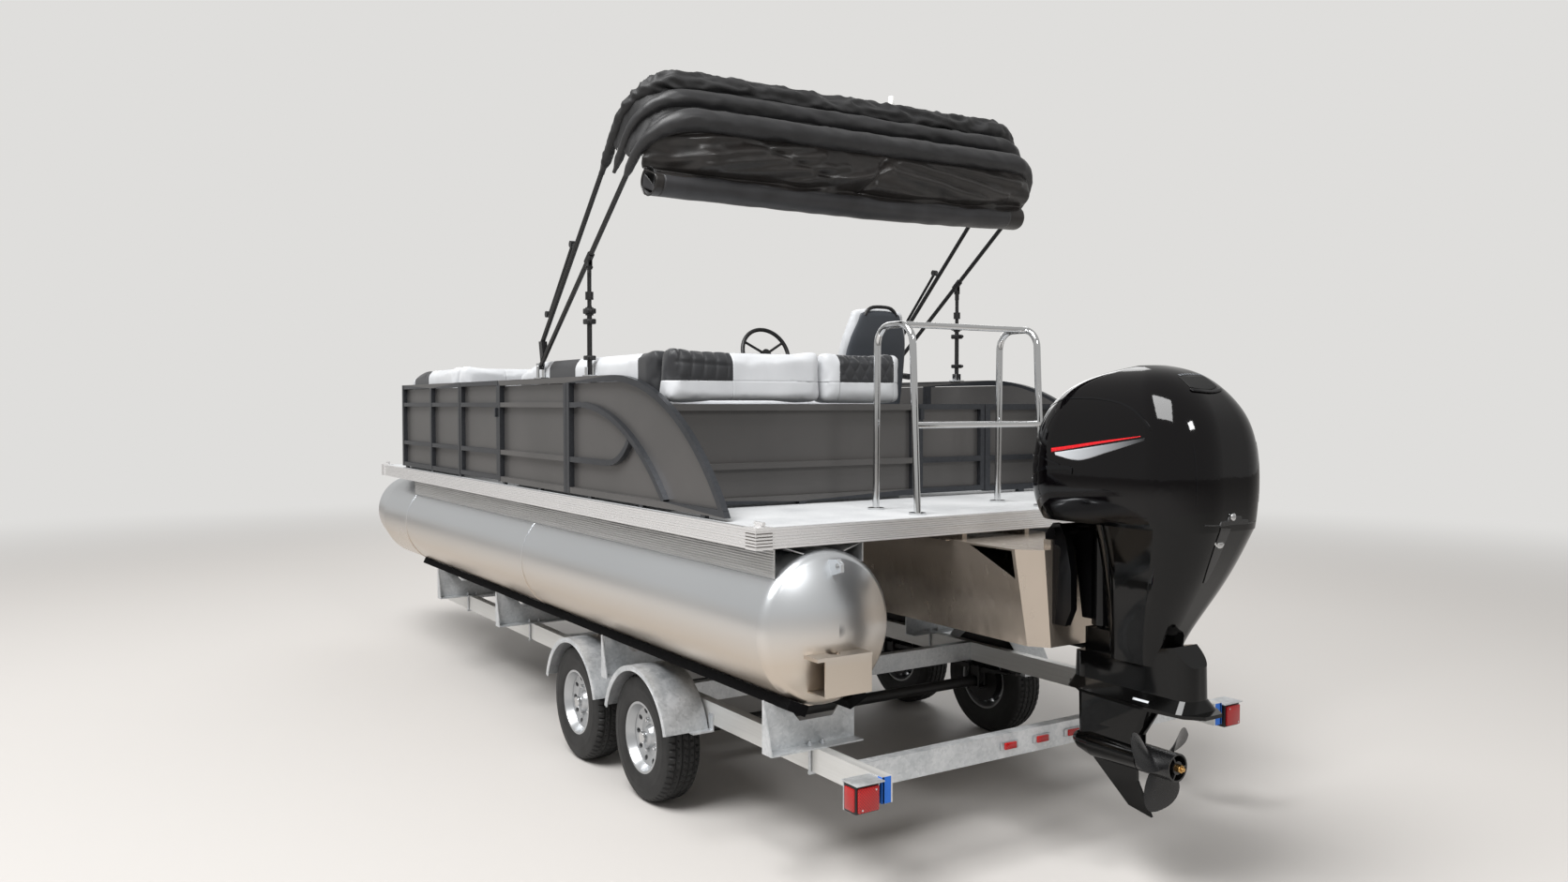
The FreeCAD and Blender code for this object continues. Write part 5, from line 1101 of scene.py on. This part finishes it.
print("stage: small fittings")
fittings = {
    "weldPlaces": (2.62, 5.10), "tubeY": 0.965, "tubeZ": 1.025, "tubeRadius": 0.3175,
    # ribs on the corner caps, dark with painted shade: heights, size of a cap, half beam of the deck
    "ribs": [1.370, 1.383, 1.396, 1.409, 1.422], "capSize": 0.08, "halfBeam": 1.295,
    # anchor light: its place on the top bar; clamps on the braces: height, half size across, half size up
    "light": (1.165, -0.28, 3.47), "brace": (1.717, 1.241),
    "braceClamps": [(2.405, 0.027, 0.014), (2.352, 0.027, 0.014), (2.166, 0.026, 0.012)],
}


def makeWelds():  # low rings where the tube's skins meet
    rings = []
    for x in fittings["weldPlaces"]:
        pick()
        spot = at(x, fittings["tubeY"], fittings["tubeZ"])
        bpy.ops.mesh.primitive_torus_add(
            major_radius=fittings["tubeRadius"] + 0.0005, minor_radius=0.0035, major_segments=160,
            minor_segments=8, location=spot, rotation=(0, math.pi / 2, 0))
        ring = placed(bpy.context.object)
        for point in ring.data.vertices:
            point.co.x += 0.0012 * noise.noise(point.co * 60)
        rings.append(smoothed(ring))
    bothHands(joinedPiece(rings), "tube_weld_beads", "boat", "float_metal")


def makeCapRibs():
    ribs = []
    size, beam, half = fittings["capSize"], fittings["halfBeam"], 0.002
    for z in fittings["ribs"]:
        sideHigh = at(size - half, beam + 0.0008, z + half)
        ribs.append(blockPiece(at(0.003, beam - half, z - half), sideHigh, 0.0006, 1))
        sternHigh = at(0.003, beam - half, z + half)
        ribs.append(blockPiece(at(-0.0008, beam - size + half, z - half), sternHigh, 0.0006, 1))
    # the ribs' dark colour is painted shade of the ribbed cap
    shadow = satinBlack("rib_shadow", "4a4541", 0.6)
    bothHands(joinedPiece(ribs), "corner_cap_rib_shade", "boat", "black_plastic", shadow)


def makeBraceClamps():
    x, y = fittings["brace"]
    clamps = []
    for z, across, up in fittings["braceClamps"]:
        clamps.append(blockPiece(at(x - across, y - across, z - up), at(x + across, y + across, z + up), 0.006))
        knobX, knobY = x - across, y + 0.008
        clamps.append(rodPiece(at(knobX + 0.004, knobY, z), at(knobX - 0.020, knobY, z), 0.009, 20, 0.003))
    clamps = joinedPiece(clamps)
    for side, mirror in (("port", False), ("starboard", True)):
        finishPiece(copied(clamps, mirror=mirror), "brace_clamps_" + side, "brace_" + side, "black_plastic")
    bpy.data.objects.remove(clamps)


def makeAnchorLight():
    x, y, z = fittings["light"]
    lens = rodPiece(at(x, y, z + 0.064), at(x, y, z + 0.1215), 0.016, 40, 0.006)
    finishPiece(lens, "anchor_light_lens", "sun_top", "lamp_clear")
    stick = rodPiece(at(x, y, z + 0.02), at(x, y, z + 0.066), 0.0065, 24)
    finishPiece(stick, "anchor_light_stick", "sun_top", "polished_steel")
    grip = blockPiece(at(x - 0.024, y - 0.016, z - 0.026), at(x + 0.024, y + 0.016, z + 0.030), 0.006)
    finishPiece(grip, "anchor_light_clamp", "sun_top", "black_plastic")
    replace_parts(lens, "anchor_light")


makeWelds()
makeCapRibs()
makeAnchorLight()
makeBraceClamps()

print("stage: studio")
studio = {
    "floorSize": 120.0, "floor": "b7b4b1", "beyond": "dfdedc", "roomLight": "dfdedc", "roomStrength": 0.72,
    "fadeStart": 7.0, "fadeEnd": 17.0,
    # area lamps: name, place, size, power
    "lamps": [("key", (-4, 9, 15), 9, 4200.0), ("fill", (8, -6, 7), 8, 500.0),
              ("stern", (-9, 1.5, 6), 1.2, 200.0)],
    # the eye stands off the port quarter, at about a person's height
    "eye": (-3.824, 3.638, 1.929), "yaw": -32.9, "pitch": -1.83, "lens": 26.59, "sensor": 36,
}


def studioFloor():  # it turns into the backdrop's own colour far from the boat, for the eye alone
    pick()
    bpy.ops.mesh.primitive_plane_add(size=studio["floorSize"], location=(0, 0, 0))
    floor = bpy.context.object
    floor.name = "studio_floor"
    paint = newFinish("studio_floor", studio["floor"], 0.6, Specular_IOR_Level=0.2)
    away = pattern(paint, "ShaderNodeVectorMath", {"operation": "LENGTH"})["Value"]
    limits = {"interpolation_type": "SMOOTHSTEP", 1: studio["fadeStart"], 2: studio["fadeEnd"], 3: 0.0, 4: 1.0}
    far = addNode(paint, "ShaderNodeMapRange", limits, {0: away}).outputs[0]
    rays = addNode(paint, "ShaderNodeLightPath").outputs["Is Camera Ray"]
    seen = addNode(paint, "ShaderNodeMath", {"operation": "MULTIPLY"}, {0: far, 1: rays}).outputs[0]
    glow = addNode(paint, "ShaderNodeEmission", {"Color": hexColour(studio["beyond"]), "Strength": 1.0})
    shader = paint.node_tree.nodes["Principled BSDF"]
    both = addNode(paint, "ShaderNodeMixShader", None, {0: seen, 1: shader.outputs[0], 2: glow.outputs[0]})
    paint.node_tree.links.new(both.outputs[0], paint.node_tree.nodes["Material Output"].inputs["Surface"])
    floor.data.materials.append(paint)


def studioLight():
    world = bpy.data.worlds.new("studio")
    bpy.context.scene.world = world
    world.use_nodes = True
    room = world.node_tree.nodes["Background"]
    room.inputs[0].default_value = hexColour(studio["roomLight"])
    room.inputs[1].default_value = studio["roomStrength"]
    backdrop = addNode(world, "ShaderNodeBackground", {"Color": hexColour(studio["beyond"]), "Strength": 1.0})
    rays = addNode(world, "ShaderNodeLightPath").outputs["Is Camera Ray"]
    both = addNode(world, "ShaderNodeMixShader", None, {0: rays, 1: room.outputs[0], 2: backdrop.outputs[0]})
    world.node_tree.links.new(both.outputs[0], world.node_tree.nodes["World Output"].inputs["Surface"])
    for name, spot, size, power in studio["lamps"]:
        bpy.ops.object.light_add(type="AREA", location=spot)
        lamp = bpy.context.object
        lamp.name = "lamp_" + name
        lamp.data.size = size
        lamp.data.energy = power
        lamp.rotation_mode = "QUATERNION"
        lamp.rotation_quaternion = (Vector((0, 0, 1.0)) - Vector(spot)).to_track_quat("-Z", "Y")


def addCamera():
    pick()
    bpy.ops.object.camera_add(location=at(*studio["eye"]))
    camera = bpy.context.object
    yaw, pitch = math.radians(studio["yaw"]), math.radians(studio["pitch"])
    aim = Vector((math.cos(yaw) * math.cos(pitch), math.sin(yaw) * math.cos(pitch), math.sin(pitch)))
    camera.rotation_mode = "QUATERNION"
    camera.rotation_quaternion = aim.to_track_quat("-Z", "Y")
    camera.data.lens = studio["lens"]
    camera.data.sensor_width = studio["sensor"]
    bpy.context.scene.camera = camera


studioFloor()
studioLight()
addCamera()
bpy.context.scene.view_settings.view_transform = "Standard"
